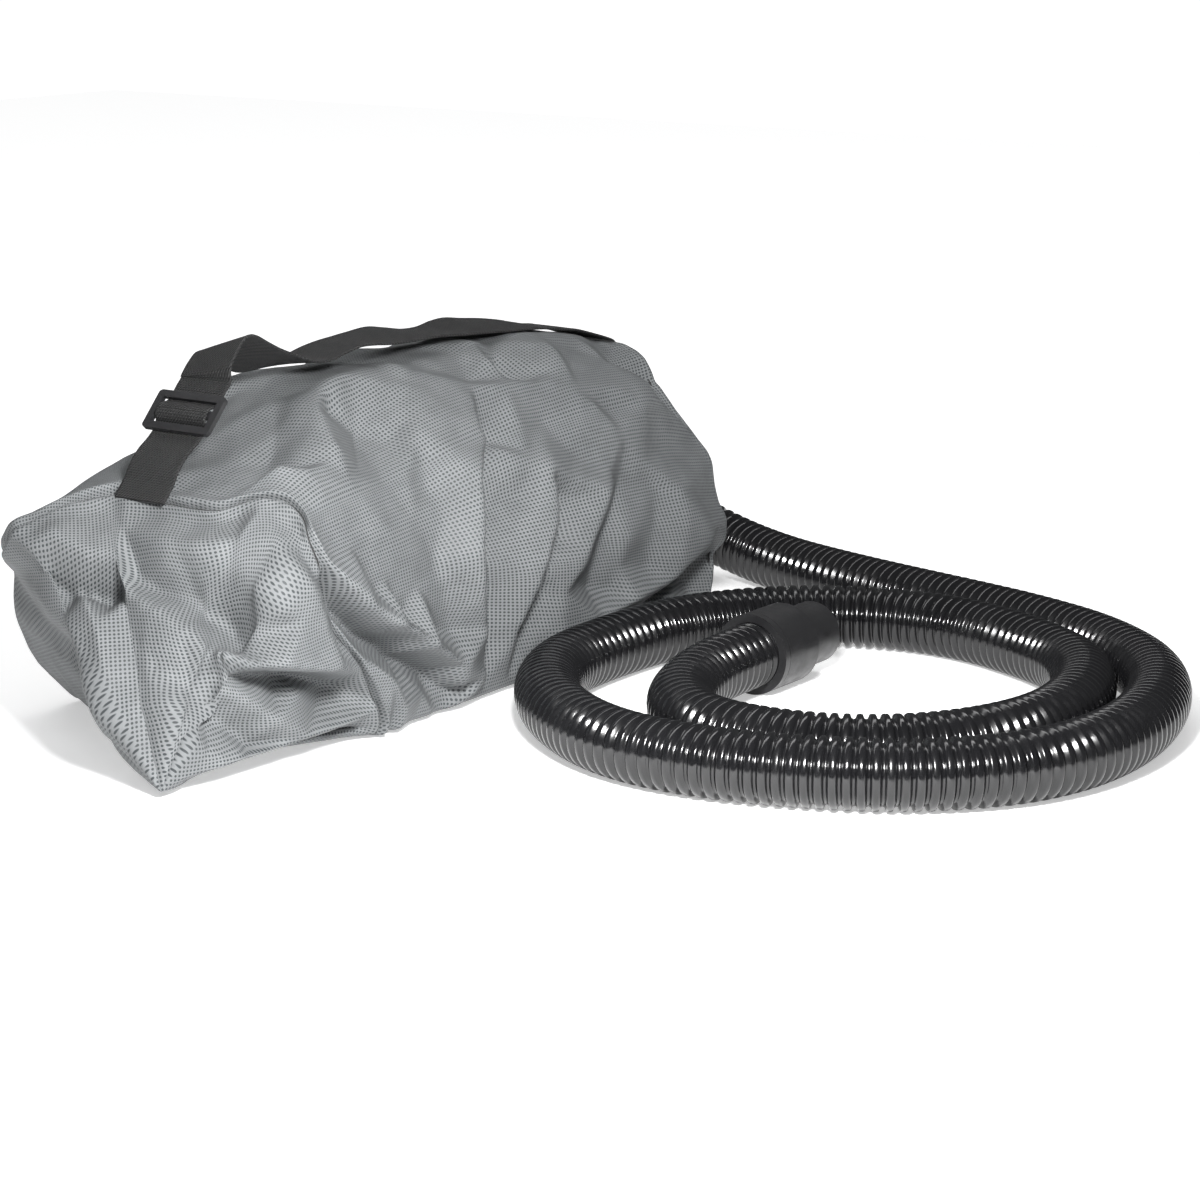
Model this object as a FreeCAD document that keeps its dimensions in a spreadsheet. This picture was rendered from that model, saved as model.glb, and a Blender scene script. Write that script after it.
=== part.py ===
"""Portable dust collection bag with a shoulder strap and a corrugated suction hose.

Frame: +X along the bag towards its hose port, +Z up, origin under the middle of the bag's box.
All sizes are millimetres.
"""
import FreeCAD, Part

import math
import os

from FreeCAD import Placement, Rotation, Vector

doc = FreeCAD.newDocument("dust_bag")

# ---------------------------------------------------------------- driving dimensions
SIZES = {
    "bag_length": 517,      # near corner to the far panel's outer face
    "bag_width": 232,
    "bag_height": 201,
    "cloth": 3,             # wall of the soft solids
    "strap_width": 38,
    "strap_thick": 1.6,
    "strap_y": -12,         # middle of the strap across the bag
    "crown_rim": 5,         # flat strip of the top panel each side of the strap
    "crown_width": "=strap_width + 2 * crown_rim",
    "strap_angle": 47,      # slope of the strap through the buckle, degrees
    "buckle_lift": 29,      # buckle's middle above the crown
    "buckle_length": 26,
    "buckle_thick": 3,
    "bar_width": 4.5,
    "slot_play": 3,         # slot wider than the strap
    "slot_across": "=strap_width + slot_play",
    "buckle_width": "=slot_across + 2 * bar_width",
    "gap": 0.3,             # clearance between pieces that only rest on each other
    "fit": 0.05,            # radial clearance of a running fit
    "zip_height": 80,
    "zip_tape": 12,
    "coil_wide": 2,
    "coil_deep": 2.2,
    "slider_wall": 1,
    "slider_length": 12,
    "pin_radius": 0.8,
    "pull_length": 22,
    "pull_thick": 1.2,
    "hose_outer": 40,
    "hose_wall": 4,
    "port_y": 30,
    "port_z": 62,
    "port_flange": 38,      # flange radius
    "flange_thick": 4,
    "gasket_thick": 1.5,
    "clamp_thick": 3.5,
    "socket_wall": 3.5,
    "socket_proud": 3,      # socket past the flange
    "socket_inside": 12,    # socket behind the far panel's outer face
    "screw_circle": 32,     # radius
    "screw_radius": 1.5,
    "screw_head": 2.8,
    "screw_head_tall": 1.6,
    "bush_wall": 2,
    "cuff_wall": 3,
    "cuff_radius": "=hose_outer / 2 + bush_wall + cuff_wall",
    "nozzle_radius": 19.5,
    "nozzle_bore": 16.5,
    "grip": 12,             # hose held inside a bush
    "bush_length": 24,
    "band": 5,
    "snap_width": 2,
    "snap_deep": 0.8,
    "tool_collar": 38,
    "tool_nozzle": 34,
    "port_collar": 27,
    "port_nozzle": 23,
}
sheet = doc.addObject("Spreadsheet::Sheet", "sizes")
for row, (name, value) in enumerate(SIZES.items(), start=1):
    sheet.set("A%d" % row, name)
    sheet.set("B%d" % row, str(value))
    sheet.setAlias("B%d" % row, name)
doc.recompute()


def size(name):
    """A driving dimension as a plain number."""
    return float(getattr(sheet, name))


half_width = size("bag_width") / 2
total_length = size("bag_length") + size("flange_thick") + size("socket_proud")
near_x = -total_length / 2
far_x = near_x + size("bag_length")
nodes = []


def keep(thing, label):
    """Give a finished sub-part the label that names its file."""
    thing.Label = label
    nodes.append(thing)
    return thing


def feature(label, shape):
    """A sub-part whose shape is worked out here."""
    thing = doc.addObject("Part::Feature", label + "_solid")
    thing.Shape = shape
    thing.Placement = Placement()
    return keep(thing, label)


# ---------------------------------------------------------------- slumped bag: ring of corners at each station
def along(share):
    return near_x + share * size("bag_length")


def corner(share, side, up):
    """A corner from shares of the length, the half width and the height."""
    return Vector(along(share), side * half_width, up * size("bag_height"))


def crown(share, up):
    """The two edges of the flat strip under the strap, right then left."""
    reach = size("crown_width") / 2
    return [Vector(along(share), size("strap_y") + s * reach, up * size("bag_height")) for s in (-1, 1)]


zip_stack = size("coil_deep") + size("gap") + size("slider_wall") + 4.4 * size("pin_radius")
zip_y = half_width - zip_stack


def zip_edges(share, y=None):
    """The upper and lower edge of the zip's strip on the left side."""
    side = zip_y if y is None else y
    return [Vector(along(share), side, size("zip_height") + s * size("zip_tape")) for s in (1, -1)]


# ring order: right base, right belly, right shoulder, crown x 2, left shoulder, zip x 2, left base
BASE_R, BELLY_R, SHOULDER_R, CROWN_R, CROWN_L, SHOULDER_L, ZIP_U, ZIP_L, BASE_L = range(9)
near_ring = (
    [corner(0.313, -0.91, 0), corner(0.308, -0.94, 0.30), corner(0.246, -0.72, 0.72)]
    + crown(0.147, 0.74)
    + [corner(0.052, 0.40, 0.655)]
    + zip_edges(0.139, 0.80 * half_width)
    + [corner(0.248, 0.86, 0)]
)
near_body = (
    [corner(0.42, -0.91, 0), corner(0.42, -0.95, 0.40), corner(0.42, -0.74, 0.75)]
    + crown(0.42, 0.98)
    + [corner(0.42, 0.70, 0.82)]
    + zip_edges(0.42)
    + [corner(0.42, 0.89, 0)]
)
far_body = (
    [corner(0.75, -0.93, 0), corner(0.75, -1.0, 0.40), corner(0.75, -0.74, 0.80)]
    + crown(0.75, 1.0)
    + [corner(0.75, 0.70, 0.82)]
    + zip_edges(0.75)
    + [corner(0.75, 0.89, 0)]
)
far_ring = (
    [corner(1, -0.91, 0), corner(1, -1.0, 0.35), corner(1, -0.69, 0.71)]
    + crown(1, 0.915)
    + [corner(1, 0.74, 0.71)]
    + zip_edges(1)
    + [corner(1, 0.89, 0)]
)
far_panel_inside = far_x - size("cloth")
for point in far_ring:
    point.x = far_panel_inside
rings = [near_ring, near_body, far_body, far_ring]
near_corner = Vector(near_x, -0.75 * half_width, 0)


def inset(ring, wall):
    """The ring moved inwards by the wall, in the plane across the bag."""
    count = len(ring)
    inner = []
    for i, point in enumerate(ring):
        before = point - ring[i - 1]
        after = ring[(i + 1) % count] - point
        normals = []
        for edge in (before, after):
            reach = math.hypot(edge.y, edge.z)
            normals.append((edge.z / reach, -edge.y / reach))
        (ay, az), (by, bz) = normals
        share = wall / (1 + ay * by + az * bz)
        inner.append(Vector(point.x, point.y + share * (ay + by), point.z + share * (az + bz)))
    return inner


# the ring runs from the right base up, over and down the left, so inwards is to its right
inner_rings = [inset(ring, size("cloth")) for ring in rings]
near_corner_inside = near_corner + Vector(4, 2, 1) * size("cloth")


def triangle(a, b, c):
    return Part.Face(Part.makePolygon([a, b, c, a]))


def patch(a, b, c, d):
    """Four corners as two triangles that share the a-c diagonal."""
    faces = []
    for three in ((a, b, c), (a, c, d)):
        if (three[1] - three[0]).cross(three[2] - three[0]).Length > 1e-6:
            faces.append(triangle(*three))
    return faces


def closed(faces):
    """A solid from the faces that bound it."""
    solid = Part.Solid(Part.Shell(faces))
    if solid.Volume < 0:
        solid.reverse()
    return solid.removeSplitter()


def cloth_panel(first, last, stations=range(4)):
    """The wall between two corners of the ring, along the stations."""
    rows = list(stations)
    faces = []
    for k, m in zip(rows, rows[1:]):
        for i in range(first, last):
            j = (i + 1) % len(near_ring)
            faces += patch(rings[k][i], rings[m][i], rings[m][j], rings[k][j])
            faces += patch(inner_rings[k][i], inner_rings[m][i], inner_rings[m][j], inner_rings[k][j])
        for i in (first, last % len(near_ring)):
            faces += patch(rings[k][i], rings[m][i], inner_rings[m][i], inner_rings[k][i])
    for k in (rows[0], rows[-1]):
        for i in range(first, last):
            j = (i + 1) % len(near_ring)
            faces += patch(rings[k][i], inner_rings[k][i], inner_rings[k][j], rings[k][j])
    return faces


for label, first, last in (
    ("front_panel", BASE_R, SHOULDER_R),
    ("top_panel", SHOULDER_R, SHOULDER_L),
    ("rear_upper_panel", SHOULDER_L, ZIP_U),
    ("rear_lower_panel", ZIP_L, BASE_L),
):
    feature(label, closed(cloth_panel(first, last)))

feature("zip_end_tab", closed(cloth_panel(ZIP_U, ZIP_L, (0, 1))))

# the base runs out to the near corner as one more triangle
base_faces = cloth_panel(BASE_L, BASE_L + 1)
base_faces = base_faces[:-4] + patch(
    rings[3][BASE_L], inner_rings[3][BASE_L], inner_rings[3][BASE_R], rings[3][BASE_R]
)
outer_r, outer_l = near_ring[BASE_R], near_ring[BASE_L]
inner_r, inner_l = inner_rings[0][BASE_R], inner_rings[0][BASE_L]
base_faces += [
    triangle(outer_l, outer_r, near_corner),
    triangle(inner_l, inner_r, near_corner_inside),
]
base_faces += patch(outer_r, near_corner, near_corner_inside, inner_r)
base_faces += patch(outer_l, near_corner, near_corner_inside, inner_l)
feature("base_panel", closed(base_faces))

# the near end panel fans out from the corner that lies on the floor
fan = []
for i in range(BASE_R, BASE_L):
    fan.append(triangle(near_corner, near_ring[i], near_ring[i + 1]))
    fan.append(triangle(near_corner_inside, inner_rings[0][i], inner_rings[0][i + 1]))
    fan += patch(near_ring[i], inner_rings[0][i], inner_rings[0][i + 1], near_ring[i + 1])
fan += patch(outer_r, near_corner, near_corner_inside, inner_r)
fan += patch(outer_l, near_corner, near_corner_inside, inner_l)
feature("near_end_panel", closed(fan))


# ---------------------------------------------------------------- turned pieces on an axis along X
def barrel(name, radius, length, x, y, z):
    """A cylinder along X, its sizes and place bound to the sheet."""
    thing = doc.addObject("Part::Cylinder", name)
    thing.Placement = Placement(Vector(0, 0, 0), Rotation(Vector(0, 1, 0), 90))
    thing.setExpression("Radius", radius)
    thing.setExpression("Height", length)
    thing.setExpression("Placement.Base.x", x)
    thing.setExpression("Placement.Base.y", y)
    thing.setExpression("Placement.Base.z", z)
    return thing


def fuse(name, pieces):
    if len(pieces) == 1:
        return pieces[0]
    thing = doc.addObject("Part::MultiFuse", name)
    thing.Shapes = pieces
    return thing


def turned(label, solids, hollows, y, z):
    """A turned piece: stacked cylinders less stacked cylinders, each (radius, length, x)."""
    outer = [barrel("%s_out%d" % (label, i), *cyl, y, z) for i, cyl in enumerate(solids)]
    inner = [barrel("%s_in%d" % (label, i), *cyl, y, z) for i, cyl in enumerate(hollows)]
    thing = doc.addObject("Part::Cut", label + "_cut")
    thing.Base = fuse(label + "_body", outer)
    thing.Tool = fuse(label + "_hollow", inner)
    return thing


FAR = "(%s + sizes.bag_length)" % "(-(sizes.bag_length + sizes.flange_thick + sizes.socket_proud) / 2)"
PORT = ("sizes.port_y", "sizes.port_z")

# ---------------------------------------------------------------- far end panel with its port hole
panel_outline = Part.Face(Part.makePolygon(far_ring + [far_ring[0]]))
port_centre = Vector(far_panel_inside, size("port_y"), size("port_z"))
port_axis = Vector(1, 0, 0)
socket_radius = size("nozzle_radius") + size("fit") + size("socket_wall")
far_wall = panel_outline.extrude(Vector(size("cloth"), 0, 0))
port_hole = Part.makeCylinder(socket_radius + size("gap"), size("cloth"), port_centre, port_axis)


def screw_places(x):
    """Centres of the four port screws in the plane at x."""
    places = []
    for turn in (45, 135, 225, 315):
        angle = math.radians(turn)
        places.append(Vector(
            x,
            size("port_y") + size("screw_circle") * math.cos(angle),
            size("port_z") + size("screw_circle") * math.sin(angle),
        ))
    return places


screw_holes = [Part.makeCylinder(size("screw_radius") + size("gap"), size("cloth"), at, port_axis)
               for at in screw_places(far_panel_inside)]
feature("far_end_panel", far_wall.cut([port_hole] + screw_holes))


# ---------------------------------------------------------------- port: flange, gasket, clamp ring, screws
def drilled(label, piece, start, depth):
    """The piece with its four screw holes, bound to the sheet."""
    holes = []
    for i, (dy, dz) in enumerate(((1, 1), (-1, 1), (-1, -1), (1, -1))):
        holes.append(barrel(
            "%s_hole%d" % (label, i), "sizes.screw_radius + sizes.gap", depth, start,
            "sizes.port_y + %d * sizes.screw_circle * cos(45)" % dy,
            "sizes.port_z + %d * sizes.screw_circle * sin(45)" % dz,
        ))
    thing = doc.addObject("Part::Cut", label + "_drilled")
    thing.Base = piece
    thing.Tool = fuse(label + "_holes", holes)
    return keep(thing, label)


SOCKET = "sizes.nozzle_radius + sizes.fit"
flange = turned(
    "port_flange",
    [("sizes.port_flange", "sizes.flange_thick", FAR),
     (SOCKET + " + sizes.socket_wall", "sizes.socket_inside + sizes.flange_thick + sizes.socket_proud",
      FAR + " - sizes.socket_inside")],
    [(SOCKET, "sizes.socket_inside + sizes.flange_thick + sizes.socket_proud", FAR + " - sizes.socket_inside")],
    *PORT,
)
drilled("port_flange", flange, FAR, "sizes.flange_thick")

GASKET_X = FAR + " - sizes.cloth - sizes.gasket_thick"
CLAMP_X = GASKET_X + " - sizes.clamp_thick"
gasket = turned(
    "port_gasket",
    [("sizes.port_flange", "sizes.gasket_thick", GASKET_X)],
    [(SOCKET + " + sizes.socket_wall + sizes.gap", "sizes.gasket_thick", GASKET_X)],
    *PORT,
)
drilled("port_gasket", gasket, GASKET_X, "sizes.gasket_thick")
clamp = turned(
    "port_clamp_ring",
    [("sizes.port_flange", "sizes.clamp_thick", CLAMP_X)],
    [(SOCKET + " + sizes.socket_wall + sizes.gap", "sizes.clamp_thick", CLAMP_X)],
    *PORT,
)
drilled("port_clamp_ring", clamp, CLAMP_X, "sizes.clamp_thick")

clamp_x = far_x - size("cloth") - size("gasket_thick") - size("clamp_thick")
flange_face = far_x + size("flange_thick")
screws = []
for head, nut in zip(screw_places(flange_face), screw_places(clamp_x)):
    shank = Part.makeCylinder(size("screw_radius"), flange_face - clamp_x, nut, port_axis)
    top = Part.makeCylinder(size("screw_head"), size("screw_head_tall"), head, port_axis)
    back = Part.makeCylinder(size("screw_head"), size("screw_head_tall"), nut, -port_axis)
    screws.append(shank.fuse([top, back]).removeSplitter())
feature("port_screws", Part.makeCompound(screws))

# ---------------------------------------------------------------- hose route
hose_radius = size("hose_outer") / 2
tool_axis_y = -228.0
tool_axis_z = size("cuff_radius")
# the hose starts where the port cuff's collar, seated on the flange, holds it
port_hose_x = far_x + size("flange_thick") + size("socket_proud") + size("port_collar") - size("grip")
tool_hose_x = 124.0
port_run = 25.0    # straight out of the port
HOSE_ROUTE = [
    (port_hose_x, size("port_y"), size("port_z")), (port_hose_x + port_run, size("port_y"), size("port_z")),
    (337, 17, 56), (364, -13, 41), (370, -54, 25), (358, -100, 20),
    (341, -150, 20), (326, -206, 20), (313, -264, 20), (298, -324, 20), (272, -388, 20), (222, -446, 20),
    (148, -480, 20), (70, -490, 20), (4, -474, 20), (-46, -430, 20), (-74, -374, 20), (-90, -312, 20),
    (-82, -248, 20), (-38, -182, 20), (26, -140, 20), (95, -134, 20), (163, -139, 20), (222, -172, 20),
    (258, -225, 20), (266, -287, 20), (243, -350, 20), (212, -400, 20), (152, -432, 20), (84, -442, 20),
    (24, -424, 20), (-18, -386, 20), (-36, -336, 20), (-32, -285, 20), (2, -246, 20.5), (46, -230, 22.5),
    (86, tool_axis_y, tool_axis_z), (tool_hose_x, tool_axis_y, tool_axis_z),
]


def hose_path(points):
    """Straight runs joined by tangent arcs, and the arcs' radii."""
    corners = [Vector(*p) for p in points]
    edges = []
    radii = []
    start = corners[0]
    for a, b, c in zip(corners, corners[1:], corners[2:]):
        to_b = (b - a).normalize()
        to_c = (c - b).normalize()
        turn = to_b.getAngle(to_c)
        reach = 0.45 * min((b - a).Length, (c - b).Length)
        radius = reach / math.tan(turn / 2)
        enter = b - to_b * reach
        leave = b + to_c * reach
        inwards = (to_c - to_b).normalize()
        middle = b + inwards * (radius / math.cos(turn / 2) - radius)
        edges.append(Part.LineSegment(start, enter).toShape())
        edges.append(Part.Arc(enter, middle, leave).toShape())
        radii.append(radius)
        start = leave
    edges.append(Part.LineSegment(start, corners[-1]).toShape())
    return Part.Wire(edges), radii


path, radii = hose_path(HOSE_ROUTE)
print("hose length %.0f mm, radii %s" % (path.Length, " ".join("%.0f" % r for r in radii)))
mouth = Vector(*HOSE_ROUTE[0])
first_run = (Vector(*HOSE_ROUTE[1]) - mouth).normalize()
disc = Part.Face(Part.Wire(Part.Circle(mouth, first_run, hose_radius).toShape()))
bore = Part.Face(Part.Wire(Part.Circle(mouth, first_run, hose_radius - size("hose_wall")).toShape()))
hose = path.makePipe(disc).cut(path.makePipe(bore))
expected = disc.cut(bore).Area * path.Length
print("hose volume %.0f, section times length %.0f" % (hose.Volume, expected))
feature("hose", hose)


# ---------------------------------------------------------------- swivel cuffs on the hose's two ends
def swivel_cuff(end, hose_x, way, y, z, collar, nozzle):
    """A bush screwed on the hose, a snap ring in its groove and the cuff that turns on it."""

    def span(radius, start, finish):
        """A cylinder from start to finish, measured from the bush's band towards the nozzle."""
        low = start if way > 0 else finish
        return (radius, "(%s) - (%s)" % (finish, start), "%g %s (%s - sizes.grip)" % (
            hose_x, "+" if way > 0 else "-", low))

    bush_out = "sizes.hose_outer / 2 + sizes.bush_wall"
    groove = "(sizes.bush_length * 0.7)"
    bush = turned(
        end + "_bush",
        [span("sizes.cuff_radius", "0", "sizes.band"), span(bush_out, "0", "sizes.bush_length")],
        [span("sizes.hose_outer / 2 + sizes.fit", "0", "sizes.grip"),
         span("sizes.hose_outer / 2 - sizes.hose_wall", "0", "sizes.bush_length")],
        y, z,
    )
    channel = turned(
        end + "_channel",
        [span(bush_out + " + 1", groove, groove + " + sizes.snap_width")],
        [span(bush_out + " - sizes.snap_deep", groove, groove + " + sizes.snap_width")],
        y, z,
    )
    grooved = doc.addObject("Part::Cut", end + "_bush_grooved")
    grooved.Base = bush
    grooved.Tool = channel
    keep(grooved, end + "_bush")

    ring = turned(
        end + "_ring",
        [span(bush_out + " + sizes.snap_deep", groove, groove + " + sizes.snap_width")],
        [span(bush_out + " - sizes.snap_deep + sizes.fit", groove, groove + " + sizes.snap_width")],
        y, z,
    )
    split = doc.addObject("Part::Box", end + "_ring_split")
    split.setExpression("Length", "sizes.snap_width * 3")
    split.setExpression("Width", "sizes.snap_width")
    split.setExpression("Height", "sizes.cuff_radius")
    middle = span("", groove, groove + " + sizes.snap_width")[2]
    split.setExpression("Placement.Base.x", middle + " - sizes.snap_width")
    split.setExpression("Placement.Base.y", y + " - sizes.snap_width / 2")
    split.setExpression("Placement.Base.z", z)
    open_ring = doc.addObject("Part::Cut", end + "_ring_open")
    open_ring.Base = ring
    open_ring.Tool = split
    keep(open_ring, end + "_snap_ring")

    rim = "(sizes.band + sizes.gap)"
    seat = "(sizes.bush_length + sizes.gap)"
    ring_room = "sizes.snap_deep + sizes.gap"
    cuff = turned(
        end + "_cuff",
        [span("sizes.cuff_radius", rim, collar), span("sizes.nozzle_radius", rim, "%s + %s" % (collar, nozzle))],
        [span(bush_out + " + sizes.fit", rim, seat),
         span(bush_out + " + " + ring_room, groove + " - sizes.gap", groove + " + sizes.snap_width + sizes.gap"),
         span("sizes.nozzle_bore", rim, "%s + %s" % (collar, nozzle))],
        y, z,
    )
    keep(cuff, end + "_cuff")


swivel_cuff("port", port_hose_x, -1, *PORT, "sizes.port_collar", "sizes.port_nozzle")
swivel_cuff("tool", tool_hose_x, 1, "%g" % tool_axis_y, "sizes.cuff_radius",
            "sizes.tool_collar", "sizes.tool_nozzle")


# ---------------------------------------------------------------- shoulder strap
crown_line = [ring[CROWN_R] for ring in rings]


def crown_height(x):
    """Height of the bag's crown at x."""
    for a, b in zip(crown_line, crown_line[1:]):
        if x <= b.x:
            return a.z + (b.z - a.z) * (x - a.x) / (b.x - a.x)
    return crown_line[-1].z


strap_near = size("strap_y") - size("strap_width") / 2
slope = math.radians(size("strap_angle"))
buckle_x = along(0.2146)
buckle_z = crown_height(buckle_x) + size("buckle_lift")


def on_strap(a, n):
    """A point from its place along the strap at the buckle and its height off the buckle's middle."""
    return Vector(
        buckle_x + a * math.cos(slope) - n * math.sin(slope), 0,
        buckle_z + a * math.sin(slope) + n * math.cos(slope),
    )


def ribbon(points, thick):
    """A strip of webbing, from the line it follows in the upright plane along the bag."""
    sides = []
    for way in (1, -1):
        edge = []
        for i, point in enumerate(points):
            before = (point - points[i - 1]).normalize() if i else None
            after = (points[i + 1] - point).normalize() if i < len(points) - 1 else None
            before = before or after
            after = after or before
            tangent = (before + after).normalize()
            normal = Vector(-tangent.z, 0, tangent.x)
            spread = way * thick / 2 / max(0.3, normal.dot(Vector(-before.z, 0, before.x)))
            edge.append(point + normal * spread)
        sides.append(edge)
    outline = sides[0] + sides[1][::-1]
    face = Part.Face(Part.makePolygon(outline + [outline[0]]))
    face.translate(Vector(0, strap_near, 0))
    return face.extrude(Vector(0, size("strap_width"), 0))


layer = size("buckle_thick") / 2 + size("gap") + size("strap_thick") / 2
pitch = (size("buckle_length") - size("bar_width")) / 2
slot_middle = pitch / 2
tail = layer + size("strap_thick") + 3 * size("gap")

webbing = [on_strap(3.2 * pitch, -tail), on_strap(-slot_middle + 1.4, -tail),
           on_strap(-slot_middle + 1.2, 0), on_strap(-slot_middle + 1.4, layer),
           on_strap(slot_middle - 1.1, layer), on_strap(slot_middle + 1.1, -layer),
           on_strap(pitch + 8, -layer)]
rises = [(0.2650, 51), (0.2820, 57), (0.3020, 55), (0.3250, 47), (0.3520, 33), (0.3850, 20), (0.4350, 12),
         (0.4850, 11), (0.5350, 15), (0.5850, 12), (0.6250, 5), (0.6800, 7), (0.7400, 5), (0.8000, 3),
         (0.8700, 3)]
for share, lift in rises:
    webbing.append(Vector(along(share), 0, crown_height(along(share)) + lift))
resting = size("strap_thick") / 2 + size("gap")
for share in (0.95, 0.998):
    webbing.append(Vector(along(share), 0, crown_height(along(share)) + resting))
feature("strap_webbing", ribbon(webbing, size("strap_thick")))

near_edge = crown_line[0]
seam_reach = (buckle_x - near_edge.x) / math.cos(slope)
sewn = size("strap_thick") / 2 + 0.05
loop = [on_strap(-seam_reach - 6, sewn), on_strap(-2.6 * pitch, sewn), on_strap(-1.6 * pitch, layer),
        on_strap(-slot_middle - 1.3, layer), on_strap(-slot_middle - 1.3, -layer), on_strap(-1.6 * pitch, -layer),
        on_strap(-2.6 * pitch, -sewn), on_strap(-seam_reach - 6, -sewn)]
seat_b = Vector(near_edge.x, 0, near_edge.z + size("gap"))
seat_c = Vector(crown_line[1].x, 0, crown_line[1].z + size("gap"))
below = Part.Face(Part.makePolygon([
    Vector(near_edge.x, 0, -50), seat_b, seat_c, Vector(crown_line[1].x, 0, -50), Vector(near_edge.x, 0, -50)]))
below.translate(Vector(0, strap_near - 5, 0))
bag_top = below.extrude(Vector(0, size("strap_width") + 10, 0))
outside = Part.makeBox(100, size("strap_width") + 10, 300,
                       Vector(near_edge.x - 100, strap_near - 5, 0))
feature("strap_anchor", ribbon(loop, size("strap_thick")).cut([bag_top, outside]))

# ---------------------------------------------------------------- three-bar buckle
frame_body = doc.addObject("PartDesign::Body", "buckle_body")


def origin_plane(body, role):
    return next(item for item in body.Origin.OriginFeatures if item.Role == role)


def centred_rectangle(body, name, wide, tall, across="0"):
    """A sketch on the body's XY plane of a rectangle, its middle moved along Y by across."""
    from Sketcher import Constraint

    sketch = body.newObject("Sketcher::SketchObject", name)
    sketch.AttachmentSupport = [(origin_plane(body, "XY_Plane"), "")]
    sketch.MapMode = "FlatFace"
    corners = [Vector(-9, -9, 0), Vector(9, -9, 0), Vector(9, 9, 0), Vector(-9, 9, 0)]
    for a, b in zip(corners, corners[1:] + corners[:1]):
        sketch.addGeometry(Part.LineSegment(a, b), False)
    for i in range(4):
        sketch.addConstraint(Constraint("Coincident", i, 2, (i + 1) % 4, 1))
    for i, kind in enumerate(("Horizontal", "Vertical", "Horizontal", "Vertical")):
        sketch.addConstraint(Constraint(kind, i))
    width = sketch.addConstraint(Constraint("DistanceX", 0, 1, 0, 2, 18))
    height = sketch.addConstraint(Constraint("DistanceY", 1, 1, 1, 2, 18))
    left = sketch.addConstraint(Constraint("DistanceX", 0, 1, -1, 1, 9))
    base = sketch.addConstraint(Constraint("DistanceY", 0, 1, -1, 1, 9))
    sketch.setExpression("Constraints[%d]" % width, wide)
    sketch.setExpression("Constraints[%d]" % height, tall)
    sketch.setExpression("Constraints[%d]" % left, "(%s) / 2" % wide)
    sketch.setExpression("Constraints[%d]" % base, "(%s) / 2 - (%s)" % (tall, across))
    return sketch


PITCH = "((sizes.buckle_length - sizes.bar_width) / 2)"
plate = frame_body.newObject("PartDesign::Pad", "buckle_plate")
plate.Profile = centred_rectangle(frame_body, "buckle_outline", "sizes.buckle_width", "sizes.buckle_length")
plate.SideType = "Symmetric"
plate.setExpression("Length", "sizes.buckle_thick")
doc.recompute()
plate_volume = plate.Shape.Volume
for name, side in (("lower", "-"), ("upper", "")):
    slot = frame_body.newObject("PartDesign::Pocket", "buckle_%s_slot" % name)
    slot.Profile = centred_rectangle(frame_body, "buckle_%s_slot_outline" % name, "sizes.slot_across",
                                     "%s - sizes.bar_width" % PITCH, "%s%s / 2" % (side, PITCH))
    slot.Type = "ThroughAll"
    slot.SideType = "Symmetric"
doc.recompute()
rounded = frame_body.newObject("PartDesign::Fillet", "buckle_corners")
upright = []
for i, edge in enumerate(slot.Shape.Edges, start=1):
    ends = [v.Point for v in edge.Vertexes]
    corner_edge = len(ends) == 2 and abs(abs(ends[0].x) - size("buckle_width") / 2) < 0.01
    if corner_edge and (ends[0] - ends[1]).getAngle(Vector(0, 0, 1)) in (0.0, math.pi):
        upright.append("Edge%d" % i)
rounded.Base = (slot, upright)
rounded.Radius = 2.5
doc.recompute()
assert rounded.Shape.Volume < 0.8 * plate_volume, "the buckle's slots are not cut"
lean = Rotation(Vector(0, 1, 0), -size("strap_angle"))
turn_along = Rotation(Vector(0, 0, 1), -90)
frame_body.Placement = Placement(Vector(buckle_x, size("strap_y"), buckle_z), lean.multiply(turn_along))
keep(frame_body, "strap_buckle")

# ---------------------------------------------------------------- zip on the left side
zip_start = along(0.42)
zip_length = far_panel_inside - zip_start
middle_z = size("zip_height")


def block(label, x, y, z, dx, dy, dz):
    thing = doc.addObject("Part::Box", label + "_box")
    thing.Length = dx
    thing.Width = dy
    thing.Height = dz
    thing.Placement = Placement(Vector(x, y, z), Rotation())
    return thing


feature("zip_tape_upper", closed(cloth_panel(ZIP_U, ZIP_L, (1, 2, 3))).common(
    Part.makeBox(total_length, half_width, 60, Vector(near_x, 0, middle_z))))
feature("zip_tape_lower", closed(cloth_panel(ZIP_U, ZIP_L, (1, 2, 3))).common(
    Part.makeBox(total_length, half_width, 60, Vector(near_x, 0, middle_z - 60))))
keep(block("zip_coil_upper", zip_start, zip_y, middle_z, zip_length, size("coil_deep"), size("coil_wide")),
     "zip_coil_upper")
keep(block("zip_coil_lower", zip_start, zip_y, middle_z - size("coil_wide"), zip_length,
           size("coil_deep"), size("coil_wide")), "zip_coil_lower")

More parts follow.
